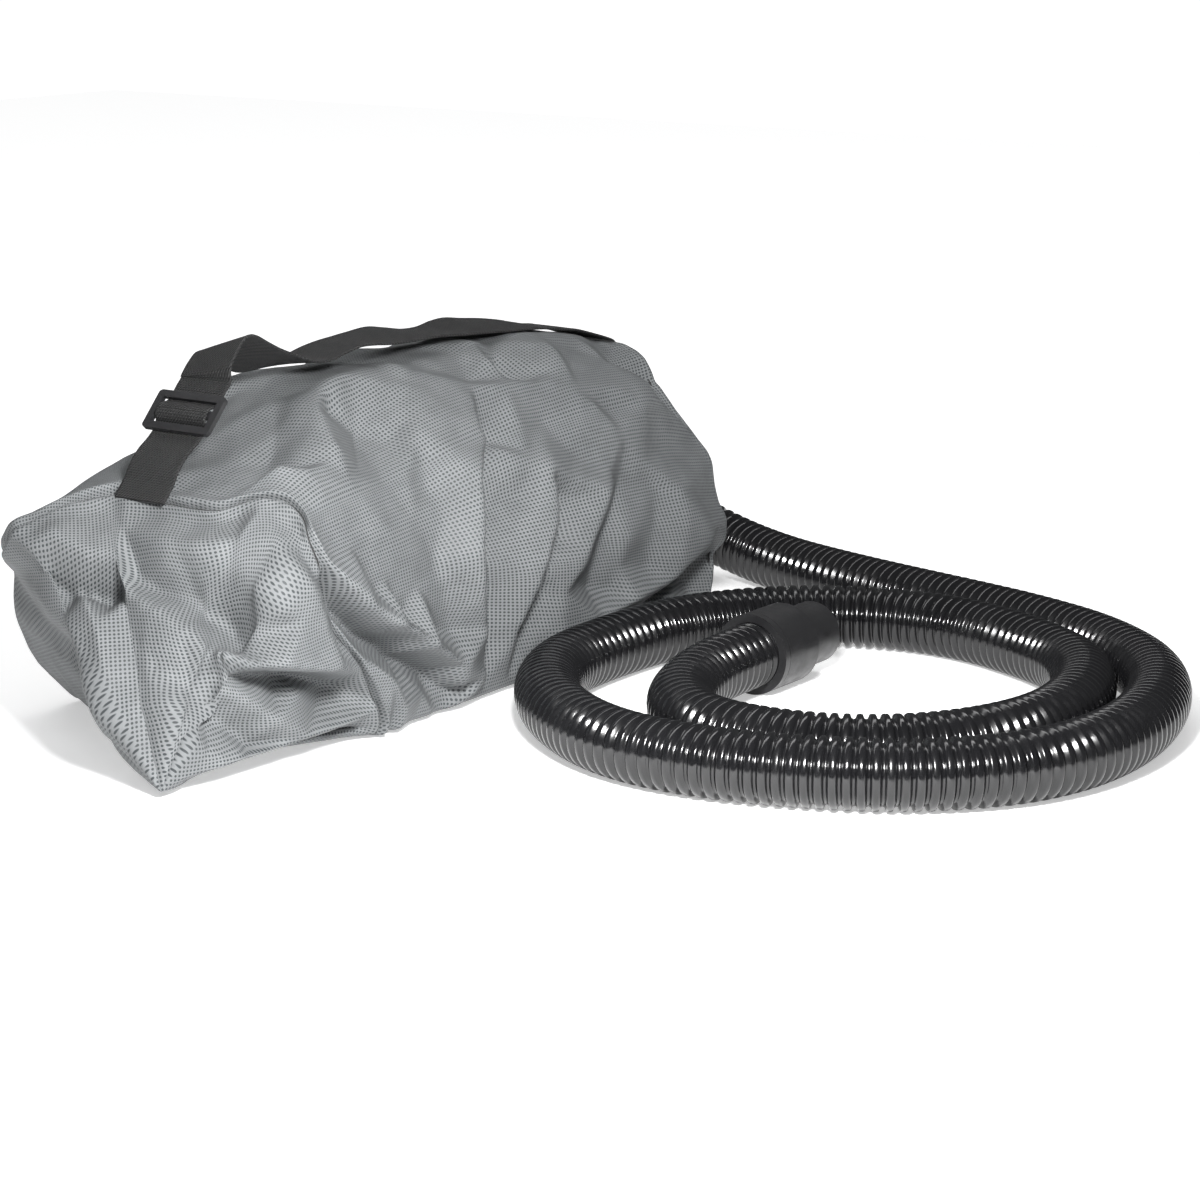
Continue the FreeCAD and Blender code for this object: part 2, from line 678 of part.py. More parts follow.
slider_x = far_panel_inside - 16
gap = size("gap")
wall = size("slider_wall")
half_room = size("coil_wide") + gap
slider_low = zip_y + gap
roof = zip_y + size("coil_deep") + gap
slider = Part.makeBox(size("slider_length"), roof + wall - slider_low, 2 * (half_room + wall),
                      Vector(slider_x - size("slider_length") / 2, slider_low, middle_z - half_room - wall))
channel = Part.makeBox(size("slider_length"), roof - slider_low, 2 * half_room,
                       Vector(slider_x - size("slider_length") / 2, slider_low, middle_z - half_room))
pin_y = roof + wall + 2.4 * size("pin_radius")
pin_half = half_room + wall
pin = Part.makeCylinder(size("pin_radius"), 2 * pin_half, Vector(slider_x, pin_y, middle_z - pin_half))
eye_half = 1.5
ears = []
for low in (middle_z - pin_half, middle_z + eye_half + gap):
    ears.append(Part.makeBox(3.2, pin_y + 1.4 * size("pin_radius") - roof, pin_half - eye_half - gap,
                             Vector(slider_x - 1.6, roof + wall / 2, low)))
feature("zip_slider", slider.cut(channel).fuse(ears + [pin]).removeSplitter())

eye_radius = 2.0 * size("pin_radius")
eye = Part.makeCylinder(eye_radius, 2 * eye_half, Vector(slider_x, pin_y, middle_z - eye_half))
stem = Part.makeBox(size("slider_length") / 2 + 2, size("pull_thick"), 2 * eye_half,
                    Vector(slider_x - size("slider_length") / 2 - 2, pin_y - size("pull_thick") / 2,
                           middle_z - eye_half))
tab = Part.makeBox(size("pull_length") - size("slider_length") / 2, size("pull_thick"), 7,
                   Vector(slider_x - size("pull_length") - 1, pin_y - size("pull_thick") / 2, middle_z - 3.5))
hole = Part.makeCylinder(size("pin_radius") + size("fit"), 2 * eye_half + 2,
                         Vector(slider_x, pin_y, middle_z - eye_half - 1))
feature("zip_pull", eye.fuse([stem, tab]).removeSplitter().cut(hole))

stops = []
for x in (zip_start, far_panel_inside - 2):
    stops.append(Part.makeBox(2, 1.2, 2 * size("coil_wide"),
                              Vector(x, zip_y + size("coil_deep"), middle_z - size("coil_wide"))))
feature("zip_stops", Part.makeCompound(stops))

# ---------------------------------------------------------------- checks and export
doc.recompute()
for thing in doc.Objects:
    bad = {"Invalid", "Error"} & set(thing.State)
    assert not bad, "%s is %s" % (thing.Label, bad)
os.makedirs("parts", exist_ok=True)
for thing in nodes:
    shape = thing.Shape
    assert not shape.isNull() and shape.isValid() and shape.Volume > 0, thing.Label
    shape.exportStep("parts/%s.step" % thing.Label)
    box = shape.BoundBox
    print("%-18s x %7.1f %7.1f  y %7.1f %7.1f  z %6.1f %6.1f  solids %d  volume %.0f" % (
        thing.Label, box.XMin, box.XMax, box.YMin, box.YMax, box.ZMin, box.ZMax,
        len(shape.Solids), shape.Volume))
print(len(nodes), "nodes")
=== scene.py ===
# %% [markdown]
# # A dust bag with its hose
#
# The object is the light dust collector of a small woodworking machine: a grey non-woven bag with a shoulder
# strap and a long zip, and a black corrugated hose with a swivel cuff on each end.
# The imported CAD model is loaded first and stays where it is. Every new piece is built around it, in metres.

# %% Load the frame
import math

import bmesh
import bpy
import numpy as np
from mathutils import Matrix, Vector, noise
from mathutils.geometry import delaunay_2d_cdt


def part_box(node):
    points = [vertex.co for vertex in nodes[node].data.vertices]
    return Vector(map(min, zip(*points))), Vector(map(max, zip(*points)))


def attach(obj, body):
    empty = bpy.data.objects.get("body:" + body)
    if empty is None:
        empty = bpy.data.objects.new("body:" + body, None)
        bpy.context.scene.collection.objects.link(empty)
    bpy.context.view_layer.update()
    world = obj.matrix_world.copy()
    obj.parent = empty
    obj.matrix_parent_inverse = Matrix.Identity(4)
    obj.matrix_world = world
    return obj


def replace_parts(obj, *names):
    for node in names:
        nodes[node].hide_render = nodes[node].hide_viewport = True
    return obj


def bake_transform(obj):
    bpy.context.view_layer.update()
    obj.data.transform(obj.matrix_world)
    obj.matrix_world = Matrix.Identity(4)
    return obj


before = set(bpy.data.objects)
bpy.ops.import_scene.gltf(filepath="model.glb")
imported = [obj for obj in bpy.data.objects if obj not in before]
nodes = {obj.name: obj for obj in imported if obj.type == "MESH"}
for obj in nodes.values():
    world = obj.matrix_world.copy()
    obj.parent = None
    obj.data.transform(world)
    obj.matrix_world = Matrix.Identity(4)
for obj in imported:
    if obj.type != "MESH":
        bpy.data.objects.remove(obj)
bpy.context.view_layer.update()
MM = 0.001
PORT_ACROSS, PORT_UP = 0.030, 0.062       # the port's axis, which runs along x

# %% [markdown]
# ## Camera
#
# The camera stands low and to the near left of the bag, and looks slightly down. A long lens keeps the
# proportions calm. It is the first thing made, because every surface is seen from it.

# %% Camera
scene = bpy.context.scene
camera_data = bpy.data.cameras.new("camera")
camera_data.lens = 96
camera_data.sensor_width = 36
camera = bpy.data.objects.new("camera", camera_data)
camera.location = (-1.4851, -1.2341, 0.5010)
camera.rotation_euler = (math.radians(76.81), 0, math.radians(-55))
scene.collection.objects.link(camera)
scene.camera = camera
print("camera lens", camera_data.lens)


# %% [markdown]
# ## Small helpers
#
# A piece is a mesh whose vertices are already in place, so its object stays at the origin. A ribbon or a
# tube is a grid: rows of points joined to the next row. The UV map holds real distances in metres, so a
# weave keeps its scale wherever the surface goes.

# %% Mesh helpers
def mesh_piece(name, verts, faces, uvs=None, smooth=True):
    """A mesh object at the origin, with an optional UV for each corner of each face."""
    mesh = bpy.data.meshes.new(name)
    mesh.from_pydata([tuple(v) for v in verts], [], [tuple(f) for f in faces])
    if uvs is not None:
        layer = mesh.uv_layers.new(name="cloth_metres")
        layer.data.foreach_set("uv", np.asarray(uvs, dtype=np.float32).ravel())
    mesh.polygons.foreach_set("use_smooth", [smooth] * len(mesh.polygons))
    mesh.update()
    piece = bpy.data.objects.new(name, mesh)
    scene.collection.objects.link(piece)
    return piece


def baked(piece):
    """The piece with its modifiers turned into plain mesh."""
    bpy.context.view_layer.update()
    evaluated = piece.evaluated_get(bpy.context.evaluated_depsgraph_get())
    mesh = bpy.data.meshes.new_from_object(evaluated)
    piece.modifiers.clear()
    old = piece.data
    piece.data = mesh
    mesh.name = piece.name
    if old.users == 0 and isinstance(old, bpy.types.Mesh):
        bpy.data.meshes.remove(old)
    return piece


def face_outward(piece):
    """Turn every face of a closed mesh to the outside."""
    work = bmesh.new()
    work.from_mesh(piece.data)
    bmesh.ops.recalc_face_normals(work, faces=work.faces)
    work.to_mesh(piece.data)
    work.free()


def bar_faces(loops, sides):
    """Faces of a round bar built from rings of points, with a cap at each end."""
    quads = [(i * sides + j, i * sides + (j + 1) % sides,
              (i + 1) * sides + (j + 1) % sides, (i + 1) * sides + j)
             for i in range(loops - 1) for j in range(sides)]
    return quads + [tuple(reversed(range(sides))), tuple((loops - 1) * sides + j for j in range(sides))]


def full_turn(sides):
    """Evenly spaced angles, once round."""
    return np.linspace(0, 2 * math.pi, sides, endpoint=False)


def coordinates(piece):
    """Vertex places as an array."""
    data = np.empty(len(piece.data.vertices) * 3)
    piece.data.vertices.foreach_get("co", data)
    return data.reshape(-1, 3)


def set_coordinates(piece, places):
    piece.data.vertices.foreach_set("co", np.asarray(places, dtype=np.float64).ravel())
    piece.data.update()


def vertex_normals(piece):
    data = np.empty(len(piece.data.vertices) * 3)
    piece.data.vertices.foreach_get("normal", data)
    return data.reshape(-1, 3)


def smooth_row(points, count):
    """count points, evenly spaced, on a smooth open curve through the given points."""
    p = np.asarray(points, dtype=float)
    ends = np.vstack([2 * p[0] - p[1], p, 2 * p[-1] - p[-2]])
    fine = []
    for a, b, c, d in zip(ends, ends[1:], ends[2:], ends[3:]):
        for t in np.linspace(0, 1, 16, endpoint=False):
            fine.append(0.5 * ((2 * b) + (c - a) * t + (2 * a - 5 * b + 4 * c - d) * t * t
                               + (3 * b - a - 3 * c + d) * t ** 3))
    fine.append(p[-1])
    return even_row(np.array(fine), count)


def even_row(points, count):
    """count points, evenly spaced, along a polyline."""
    p = np.asarray(points, dtype=float)
    reach = np.concatenate([[0], np.cumsum(np.linalg.norm(np.diff(p[:, :3], axis=0), axis=1))])
    want = np.linspace(0, reach[-1], count)
    return np.stack([np.interp(want, reach, p[:, k]) for k in range(p.shape[1])], axis=1)


print("helpers ready")

# %% [markdown]
# ## Finishes
#
# Each finish is a small node tree. Patterns that follow a surface, such as the cloth's pressed dots and
# the strap's twill, read the UV in metres. Moulded and metal pieces read Object coordinates.


# %% Material helpers
def finish_start(name, roughness, colour=(0.5, 0.5, 0.5, 1), metallic=0.0, specular=0.5):
    material = bpy.data.materials.new(name)
    material.use_nodes = True
    shader = material.node_tree.nodes["Principled BSDF"]
    shader.inputs["Roughness"].default_value = roughness
    shader.inputs["Base Color"].default_value = colour
    shader.inputs["Metallic"].default_value = metallic
    shader.inputs["Specular IOR Level"].default_value = specular
    return material, material.node_tree, shader


def add(tree, kind, **settings):
    """A node with some of its properties and unlinked inputs set."""
    node = tree.nodes.new(kind)
    for key, value in settings.items():
        if hasattr(node, key):
            setattr(node, key, value)
        else:
            node.inputs[key.replace("_", " ")].default_value = value
    return node


def maths(tree, operation, a, b=None, clamp=False):
    """One Math node; a and b are sockets or numbers."""
    node = tree.nodes.new("ShaderNodeMath")
    node.operation = operation
    node.use_clamp = clamp
    for slot, value in ((0, a), (1, b)):
        if value is None:
            continue
        if isinstance(value, (int, float)):
            node.inputs[slot].default_value = value
        else:
            tree.links.new(value, node.inputs[slot])
    return node.outputs[0]


def step_up(tree, value, low, high, out_low=0.0, out_high=1.0):
    """A smooth step of value from low to high."""
    node = tree.nodes.new("ShaderNodeMapRange")
    node.interpolation_type = "SMOOTHSTEP"
    for slot, number in enumerate((low, high, out_low, out_high), start=1):
        node.inputs[slot].default_value = number
    tree.links.new(value, node.inputs[0])
    return node.outputs[0]


def noise_value(tree, coordinates_socket, scale, detail):
    node = add(tree, "ShaderNodeTexNoise", Scale=scale, Detail=detail, Roughness=0.55)
    tree.links.new(coordinates_socket, node.inputs["Vector"])
    return node.outputs["Fac"]


def blend_colours(tree, amount, dark, light):
    node = tree.nodes.new("ShaderNodeMix")
    node.data_type = "RGBA"
    node.inputs[6].default_value = (*dark, 1)
    node.inputs[7].default_value = (*light, 1)
    tree.links.new(amount, node.inputs[0])
    return node.outputs[2]


def bump(tree, shader, height, distance, strength=1.0):
    node = add(tree, "ShaderNodeBump", Strength=strength, Distance=distance)
    tree.links.new(height, node.inputs["Height"])
    tree.links.new(node.outputs["Normal"], shader.inputs["Normal"])


def mapped(tree, source="Object"):
    """Object coordinates, or the piece's own UV in metres."""
    node = tree.nodes.new("ShaderNodeTexCoord")
    return node.outputs[source]


print("material helpers ready")

# %% [markdown]
# The bag's cloth is a non-woven felt of polypropylene, welded with a lattice of small pressed dots. The
# dots are darker and sit lower, and the felt between them is pale and slightly mottled.

# %% Bag cloth
DOT_PITCH = 0.0024
DOT_RADIUS = 0.27       # share of the pitch


def lattice(tree, pitch):
    """Distance to the nearest lattice point, in pitches, on the piece's own UV."""
    scaled = add(tree, "ShaderNodeMapping", Scale=(1 / pitch, 1 / pitch, 1))
    tree.links.new(mapped(tree, "UV"), scaled.inputs["Vector"])
    parts = tree.nodes.new("ShaderNodeSeparateXYZ")
    tree.links.new(scaled.outputs[0], parts.inputs[0])
    across = maths(tree, "SUBTRACT", maths(tree, "FRACT", parts.outputs[0]), 0.5)
    along = maths(tree, "SUBTRACT", maths(tree, "FRACT", parts.outputs[1]), 0.5)
    across_squared = maths(tree, "MULTIPLY", across, across)
    along_squared = maths(tree, "MULTIPLY", along, along)
    return maths(tree, "SQRT", maths(tree, "ADD", across_squared, along_squared))


def make_bag_cloth():
    material, tree, shader = finish_start("bag_cloth_felt", 0.62, specular=0.18)
    away = lattice(tree, DOT_PITCH)
    dot = step_up(tree, away, DOT_RADIUS - 0.07, DOT_RADIUS + 0.12, 1.0, 0.0)
    mottle = noise_value(tree, mapped(tree), 55, 4)
    felt = blend_colours(tree, mottle, (0.118, 0.123, 0.126), (0.205, 0.214, 0.218))
    pressed = tree.nodes.new("ShaderNodeMix")
    pressed.data_type = "RGBA"
    pressed.inputs[7].default_value = (0.044, 0.048, 0.051, 1)
    tree.links.new(felt, pressed.inputs[6])
    tree.links.new(dot, pressed.inputs[0])
    tree.links.new(pressed.outputs[2], shader.inputs["Base Color"])
    fibres = noise_value(tree, mapped(tree), 900, 2)
    height = maths(tree, "ADD", maths(tree, "MULTIPLY", dot, -1.0), maths(tree, "MULTIPLY", fibres, 0.35))
    bump(tree, shader, height, 0.00022)
    rough = step_up(tree, dot, 0, 1, 0.72, 0.45)
    tree.links.new(rough, shader.inputs["Roughness"])
    return material


BAG_CLOTH = make_bag_cloth()
print("cloth dots every", DOT_PITCH, "m")

# %% [markdown]
# The strap is woven polypropylene webbing with a fine diagonal twill. The same tree, with a smaller
# pitch, gives the zip's tape.


# %% Woven finishes
TWILL_SLOPE = 0.75


def make_weave(name, rib, dark, light, deep, rough):
    """A twill: slanting ribs cut by the cross threads."""
    material, tree, shader = finish_start(name, rough, specular=0.4)
    parts = tree.nodes.new("ShaderNodeSeparateXYZ")
    tree.links.new(mapped(tree, "UV"), parts.inputs[0])
    slant = maths(tree, "ADD", parts.outputs[0], maths(tree, "MULTIPLY", parts.outputs[1], TWILL_SLOPE))
    turns = 2 * math.pi / rib
    ribs = maths(tree, "SINE", maths(tree, "MULTIPLY", slant, turns))
    threads = maths(tree, "SINE", maths(tree, "MULTIPLY", parts.outputs[1], turns * 1.4))
    weave = maths(tree, "ADD", maths(tree, "MULTIPLY", ribs, 0.5), maths(tree, "MULTIPLY", threads, 0.28))
    lifted = step_up(tree, weave, -0.65, 0.65)
    worn = noise_value(tree, mapped(tree), 120, 3)
    shade = maths(tree, "MULTIPLY", lifted, maths(tree, "ADD", worn, 0.45), clamp=True)
    tree.links.new(blend_colours(tree, shade, dark, light), shader.inputs["Base Color"])
    bump(tree, shader, lifted, deep)
    shader.inputs["Sheen Weight"].default_value = 0.03
    shader.inputs["Sheen Roughness"].default_value = 0.4
    return material


WEBBING = make_weave("webbing_twill", 0.0021, (0.0012, 0.0012, 0.0012), (0.012, 0.012, 0.0125), 0.0005, 0.62)
ZIP_TAPE = make_weave("zip_tape_weave", 0.0009, (0.010, 0.010, 0.011), (0.045, 0.046, 0.048), 0.00012, 0.8)
THREAD = make_weave("thread_twist", 0.0007, (0.05, 0.052, 0.055), (0.16, 0.165, 0.17), 0.0001, 0.6)
print("woven finishes", WEBBING.name, ZIP_TAPE.name)

# %% [markdown]
# Moulded pieces are satin black plastic: a faint grain, and gloss that varies in smears. The hose is the
# same family but glossier. The slider is plated zinc and the screws are steel.


# %% Moulded, rubber and metal finishes
def make_moulded(name, dark, light, rough_low, rough_high, grain, deep, metallic=0.0, specular=0.5):
    material, tree, shader = finish_start(name, rough_low, metallic=metallic, specular=specular)
    place = mapped(tree)
    cloudy = noise_value(tree, place, 38, 4)
    tree.links.new(blend_colours(tree, cloudy, dark, light), shader.inputs["Base Color"])
    smears = noise_value(tree, place, 90, 3)
    tree.links.new(step_up(tree, smears, 0.3, 0.7, rough_low, rough_high), shader.inputs["Roughness"])
    bump(tree, shader, noise_value(tree, place, grain, 2), deep, 0.6)
    return material


CUFF_PLASTIC = make_moulded("cuff_satin", (0.010, 0.010, 0.011), (0.022, 0.022, 0.023),
                            0.30, 0.46, 1500, 0.00006)
BUCKLE_PLASTIC = make_moulded("buckle_satin", (0.008, 0.008, 0.009), (0.020, 0.020, 0.021),
                              0.28, 0.42, 1800, 0.00005)
HOSE_PLASTIC = make_moulded("hose_gloss", (0.0035, 0.0035, 0.004), (0.010, 0.010, 0.011),
                            0.12, 0.24, 700, 0.00003, specular=0.6)
SEAL_RUBBER = make_moulded("seal_rubber", (0.012, 0.012, 0.012), (0.03, 0.03, 0.03),
                           0.75, 0.9, 1200, 0.0001)
COIL_NYLON = make_moulded("coil_nylon", (0.012, 0.012, 0.013), (0.035, 0.035, 0.037),
                          0.3, 0.45, 2500, 0.00003)
ZIP_METAL = make_moulded("zip_plated", (0.20, 0.20, 0.205), (0.34, 0.34, 0.345), 0.22, 0.38, 900, 0.00003,
                         metallic=1.0)
STEEL = make_moulded("screw_steel", (0.42, 0.42, 0.43), (0.60, 0.60, 0.61),
                     0.2, 0.35, 1400, 0.00003, metallic=1.0)
print("moulded finishes ready")

# %% [markdown]
# ## Hose
#
# The hose is 2.2 m of blow-moulded corrugated tube, 40 mm across its ribs. It leaves the port, drops to the
# floor, goes once round in a wide loop, and comes back inside it to its tool cuff, as it lies after use.
# The control points are the same as the CAD tube's, in metres, and a NURBS spline gives the bend that a
# stiff tube takes. The wall is built as rings of points that follow this spline, one set for each rib.

# %% Hose line
HOSE_WAY = [
    (0.277, 0.030, 0.062), (0.302, 0.030, 0.062), (0.337, 0.017, 0.056), (0.364, -0.013, 0.041),
    (0.370, -0.054, 0.025), (0.358, -0.100, 0.020), (0.341, -0.150, 0.020), (0.326, -0.206, 0.020),
    (0.313, -0.264, 0.020), (0.298, -0.324, 0.020), (0.272, -0.388, 0.020), (0.222, -0.446, 0.020),
    (0.148, -0.480, 0.020), (0.070, -0.490, 0.020), (0.004, -0.474, 0.020), (-0.046, -0.430, 0.020),
    (-0.074, -0.374, 0.020), (-0.090, -0.312, 0.020), (-0.082, -0.248, 0.020), (-0.038, -0.182, 0.020),
    (0.026, -0.140, 0.020), (0.095, -0.134, 0.020), (0.163, -0.139, 0.020), (0.222, -0.172, 0.020),
    (0.258, -0.225, 0.020), (0.266, -0.287, 0.020), (0.243, -0.350, 0.020), (0.212, -0.400, 0.020),
    (0.152, -0.432, 0.020), (0.084, -0.442, 0.020), (0.024, -0.424, 0.020), (-0.018, -0.386, 0.020),
    (-0.036, -0.336, 0.020), (-0.032, -0.285, 0.020), (0.002, -0.246, 0.0205), (0.046, -0.230, 0.0225),
    (0.086, -0.228, 0.025), (0.124, -0.228, 0.025),
]


def nurbs_line(name, points):
    """Points along a smooth NURBS spline, as Blender gives them."""
    curve = bpy.data.curves.new(name, "CURVE")
    curve.dimensions = "3D"
    curve.resolution_u = 24
    spline = curve.splines.new("NURBS")
    spline.points.add(len(points) - 1)
    for point, place in zip(spline.points, points):
        point.co = (*place, 1)
    spline.order_u = 3
    spline.use_endpoint_u = True
    holder = bpy.data.objects.new(name, curve)
    mesh = bpy.data.meshes.new_from_object(holder)
    line = [v.co.copy() for v in mesh.vertices]
    bpy.data.objects.remove(holder)
    bpy.data.curves.remove(curve)
    bpy.data.meshes.remove(mesh)
    return line


hose_line = nurbs_line("hose_line", HOSE_WAY)
hose_length = sum((b - a).length for a, b in zip(hose_line, hose_line[1:]))
print("hose line", len(hose_line), "points, length %.3f m" % hose_length)

# %% [markdown]
# One rib is a few rings: a broad round crest, then a narrower valley 3 mm deep. The last rings turn inside,
# so that the open ends show a wall.

# %% Hose wall
HOSE_RADIUS = 0.020
RIB_PITCH = 0.0072
RIB_DEPTH = 0.0030
HOSE_WALL = 0.0008
TURNED_IN = 0.030       # the ends' inner wall runs this far in
AROUND = 40
# share of the pitch, share of the depth
RIB_SHAPE = [(0.00, 0.10), (0.12, 0.0), (0.34, 0.0), (0.48, 0.14), (0.60, 0.86), (0.74, 1.0), (0.88, 0.80)]


def tube_frames(line, reaches):
    """Centre, side and upward vectors at each reach along the line."""
    p = np.array(line)
    gone = np.concatenate([[0], np.cumsum(np.linalg.norm(np.diff(p, axis=0), axis=1))])
    centre = np.stack([np.interp(reaches, gone, p[:, k]) for k in range(3)], axis=1)
    ahead = np.stack([np.interp(np.array(reaches) + 0.003, gone, p[:, k]) for k in range(3)], axis=1)
    behind = np.stack([np.interp(np.array(reaches) - 0.003, gone, p[:, k]) for k in range(3)], axis=1)
    way = ahead - behind
    way /= np.linalg.norm(way, axis=1)[:, None]
    side = np.cross(way, (0, 0, 1))
    side /= np.linalg.norm(side, axis=1)[:, None]
    return centre, side, np.cross(side, way)


def hose_rings():
    """(reach, radius) of every ring of the wall, from the port to the tool end."""
    ribs = int(round(hose_length / RIB_PITCH))
    pitch = hose_length / ribs
    rings = [(r * pitch + share * pitch, HOSE_RADIUS - deep * RIB_DEPTH)
             for r in range(ribs) for share, deep in RIB_SHAPE]
    inner = HOSE_RADIUS - RIB_DEPTH - HOSE_WALL
    start = [(TURNED_IN, inner), (0.0, inner)]
    end = [(hose_length, inner), (hose_length - TURNED_IN, inner)]
    return start + rings + end


rings = hose_rings()
centre, side, above = tube_frames(hose_line, [r for r, _ in rings])
turn = full_turn(AROUND)
radii = np.array([r for _, r in rings])
wall = (centre[:, None, :] + radii[:, None, None] * (np.cos(turn)[None, :, None] * side[:, None, :]
                                                     + np.sin(turn)[None, :, None] * above[:, None, :]))
wall[:, :, 2] = np.maximum(wall[:, :, 2], 0.0002)
quads = [(i * AROUND + j, (i + 1) * AROUND + j,
          (i + 1) * AROUND + (j + 1) % AROUND, i * AROUND + (j + 1) % AROUND)
         for i in range(len(rings) - 1) for j in range(AROUND)]
hose = mesh_piece("hose_ribbed", wall.reshape(-1, 3), quads)
hose.data.materials.append(HOSE_PLASTIC)
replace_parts(hose, "hose")
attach(hose, "bag")
print("hose faces", len(quads))

# %% [markdown]
# ## Bag
#
# The bag is wrapped from one length of cloth with an end panel sewn in at each end. Lying empty, it has
# slumped: the near end has fallen forward on its corner and the body stands in stiff, paper-like folds.
# It is modelled as one lofted shell. Rings of corners go round it at several stations, a grid is laid
# between them, and the near end panel runs from its seam to the corner that rests on the floor.

# %% Rings of the bag
NEAR_CORNER = (-261, -87, 5)
# Each ring starts at the right edge on the floor. Its parts are the right side, right shoulder, crown, left
# shoulder, above the zip, the zip, and below the zip, and each starts where the one before it ends.
BAG_RINGS = [
    [
        [(-96, -108, 1), (-99, -109, 18), (-114, -109, 42), (-128, -109, 62), (-138, -111, 80),
         (-147, -112, 98), (-154, -112, 116), (-159, -110, 132), (-152, -100, 144)],
        [(-153, -88, 151), (-162, -74, 152), (-180, -62, 147), (-186, -36, 148)],
        [(-186, 12, 148)],
        [(-210, 30, 142), (-235, 46, 131)],
        [(-222, 66, 114), (-191, 91, 94)],
        [(-190, 93, 68)],
        [(-168, 98, 35), (-134, 100, 1)],
    ],
    [
        [(-84, -107, 1), (-84, -112, 30), (-92, -114, 70), (-100, -109, 108), (-112, -92, 146)],
        [(-116, -66, 165), (-118, -36, 171)],
        [(-118, 12, 171)],
        [(-130, 46, 158), (-142, 68, 142)],
        [(-140, 90, 120), (-132, 102, 94)],
        [(-130, 103, 68)],
        [(-118, 102, 34), (-100, 101, 1)],
    ],
    [
        [(-45, -106, 1), (-45, -109, 34), (-45, -112, 78), (-48, -104, 118), (-50, -86, 150)],
        [(-48, -62, 178), (-45, -36, 196)],
        [(-45, 12, 196)],
        [(-45, 48, 186), (-45, 81, 165)],
        [(-45, 99, 134), (-45, 108.3, 94)],
        [(-45, 108.3, 68)],
        [(-45, 107, 34), (-45, 103, 1)],
    ],
    [
        [(40, -107, 1), (40, -109, 36), (40, -114, 82), (38, -104, 126), (38, -84, 158)],
        [(40, -62, 182), (40, -36, 198)],
        [(40, 12, 198)],
        [(40, 48, 187), (40, 80, 164)],
        [(40, 100, 132), (40, 108.3, 94)],
        [(40, 108.3, 68)],
        [(40, 107, 34), (40, 103, 1)],
    ],
    [
        [(126, -107, 1), (126, -109, 36), (126, -116, 82), (126, -104, 128), (126, -86, 160)],
        [(126, -62, 186), (126, -36, 200)],
        [(126, 12, 200)],
        [(126, 50, 188), (126, 81, 164)],
        [(126, 100, 132), (126, 108.3, 94)],
        [(126, 108.3, 68)],
        [(126, 107, 34), (126, 103, 1)],
    ],
    [
        [(205, -107, 1), (205, -110, 32), (205, -117, 76), (205, -104, 122), (205, -84, 154)],
        [(205, -60, 180), (205, -36, 192)],
        [(205, 12, 192)],
        [(205, 50, 180), (205, 84, 156)],
        [(205, 100, 128), (205, 108.3, 94)],
        [(205, 108.3, 68)],
        [(205, 107, 34), (205, 103, 1)],
    ],
    [
        [(251, -104, 1), (254, -108, 30), (254, -113, 70), (253, -100, 112), (250, -80, 142)],
        [(250, -58, 168), (250, -36, 182)],
        [(250, 12, 182)],
        [(250, 52, 164), (250, 84, 142)],
        [(251, 98, 120), (252, 108.3, 94)],
        [(252, 108.3, 68)],
        [(252, 107, 34), (252, 102, 1)],
    ],
]
PART_COUNTS = [56, 24, 14, 26, 20, 8, 20]
FLOOR_COUNT = 24


def ring_row(parts):
    """One closed row of points through a ring's parts, then back along the floor."""
    row, start = [], []
    for part, count in zip(parts, PART_COUNTS):
        row.extend(smooth_row(start + part, count + 1)[:-1])
        start = [part[-1]]
    row.extend(even_row([parts[-1][-1], parts[0][0]], FLOOR_COUNT + 1)[:-1])
    return np.array(row) * MM


ring_rows = [ring_row(parts) for parts in BAG_RINGS]
print("rings", len(ring_rows), "points in each", len(ring_rows[0]))

# %% [markdown]
# The rows between two rings are spaced evenly. The end panels close the shell: the near one is a fan from
# the corner on the floor, and the far one is nearly flat, because the hose port's flange holds it.

# %% Grid of the bag
BODY_ROWS = [14, 18, 21, 21, 20, 11]
NEAR_ROWS = 38
FAR_ROWS = 14
SEAM_SHARES = [0.02, 0.05, 0.09]     # extra rows close to the seams, where the cloth is pulled in
FAR_MIDDLE = (0.2535, 0.010, 0.085)


def grown(low, high, share):
    """Shares of the way from low to high for the points of one row."""
    return low + (high - low) * share


def shares(count, dense_start=False, dense_end=False):
    """Shares of a span, with extra rows next to a seam; the start itself is left out."""
    cut = SEAM_SHARES[-1] + 0.04
    low, high = (cut if dense_start else 1 / count), (1 - cut * 0.4 if dense_end else 1)
    inner = list(np.linspace(low, high, count - (len(SEAM_SHARES) if dense_start or dense_end else 0)))
    if dense_start:
        inner = SEAM_SHARES + inner
    if dense_end:
        inner = inner + [1 - 0.4 * s for s in reversed(SEAM_SHARES[:2])] + [1.0]
    return inner


rows = []
apex = np.array(NEAR_CORNER) * MM
near_shares = shares(NEAR_ROWS, dense_end=True)
for share in near_shares:
    rows.append(grown(apex[None, :], ring_rows[0], share))
for first, second, count in zip(ring_rows, ring_rows[1:], BODY_ROWS):
    first_span, last_span = first is ring_rows[0], second is ring_rows[-1]
    for share in shares(count, first_span, last_span):
        rows.append(grown(first, second, share))
middle = np.array(FAR_MIDDLE)
for share in shares(FAR_ROWS, dense_start=True)[:-1]:
    rows.append(grown(ring_rows[-1], middle[None, :], share))
grid = np.array(rows)
ROUND = grid.shape[1]
SEAM_ROW = NEAR_ROWS - 1
FAR_ROW = SEAM_ROW + sum(BODY_ROWS)


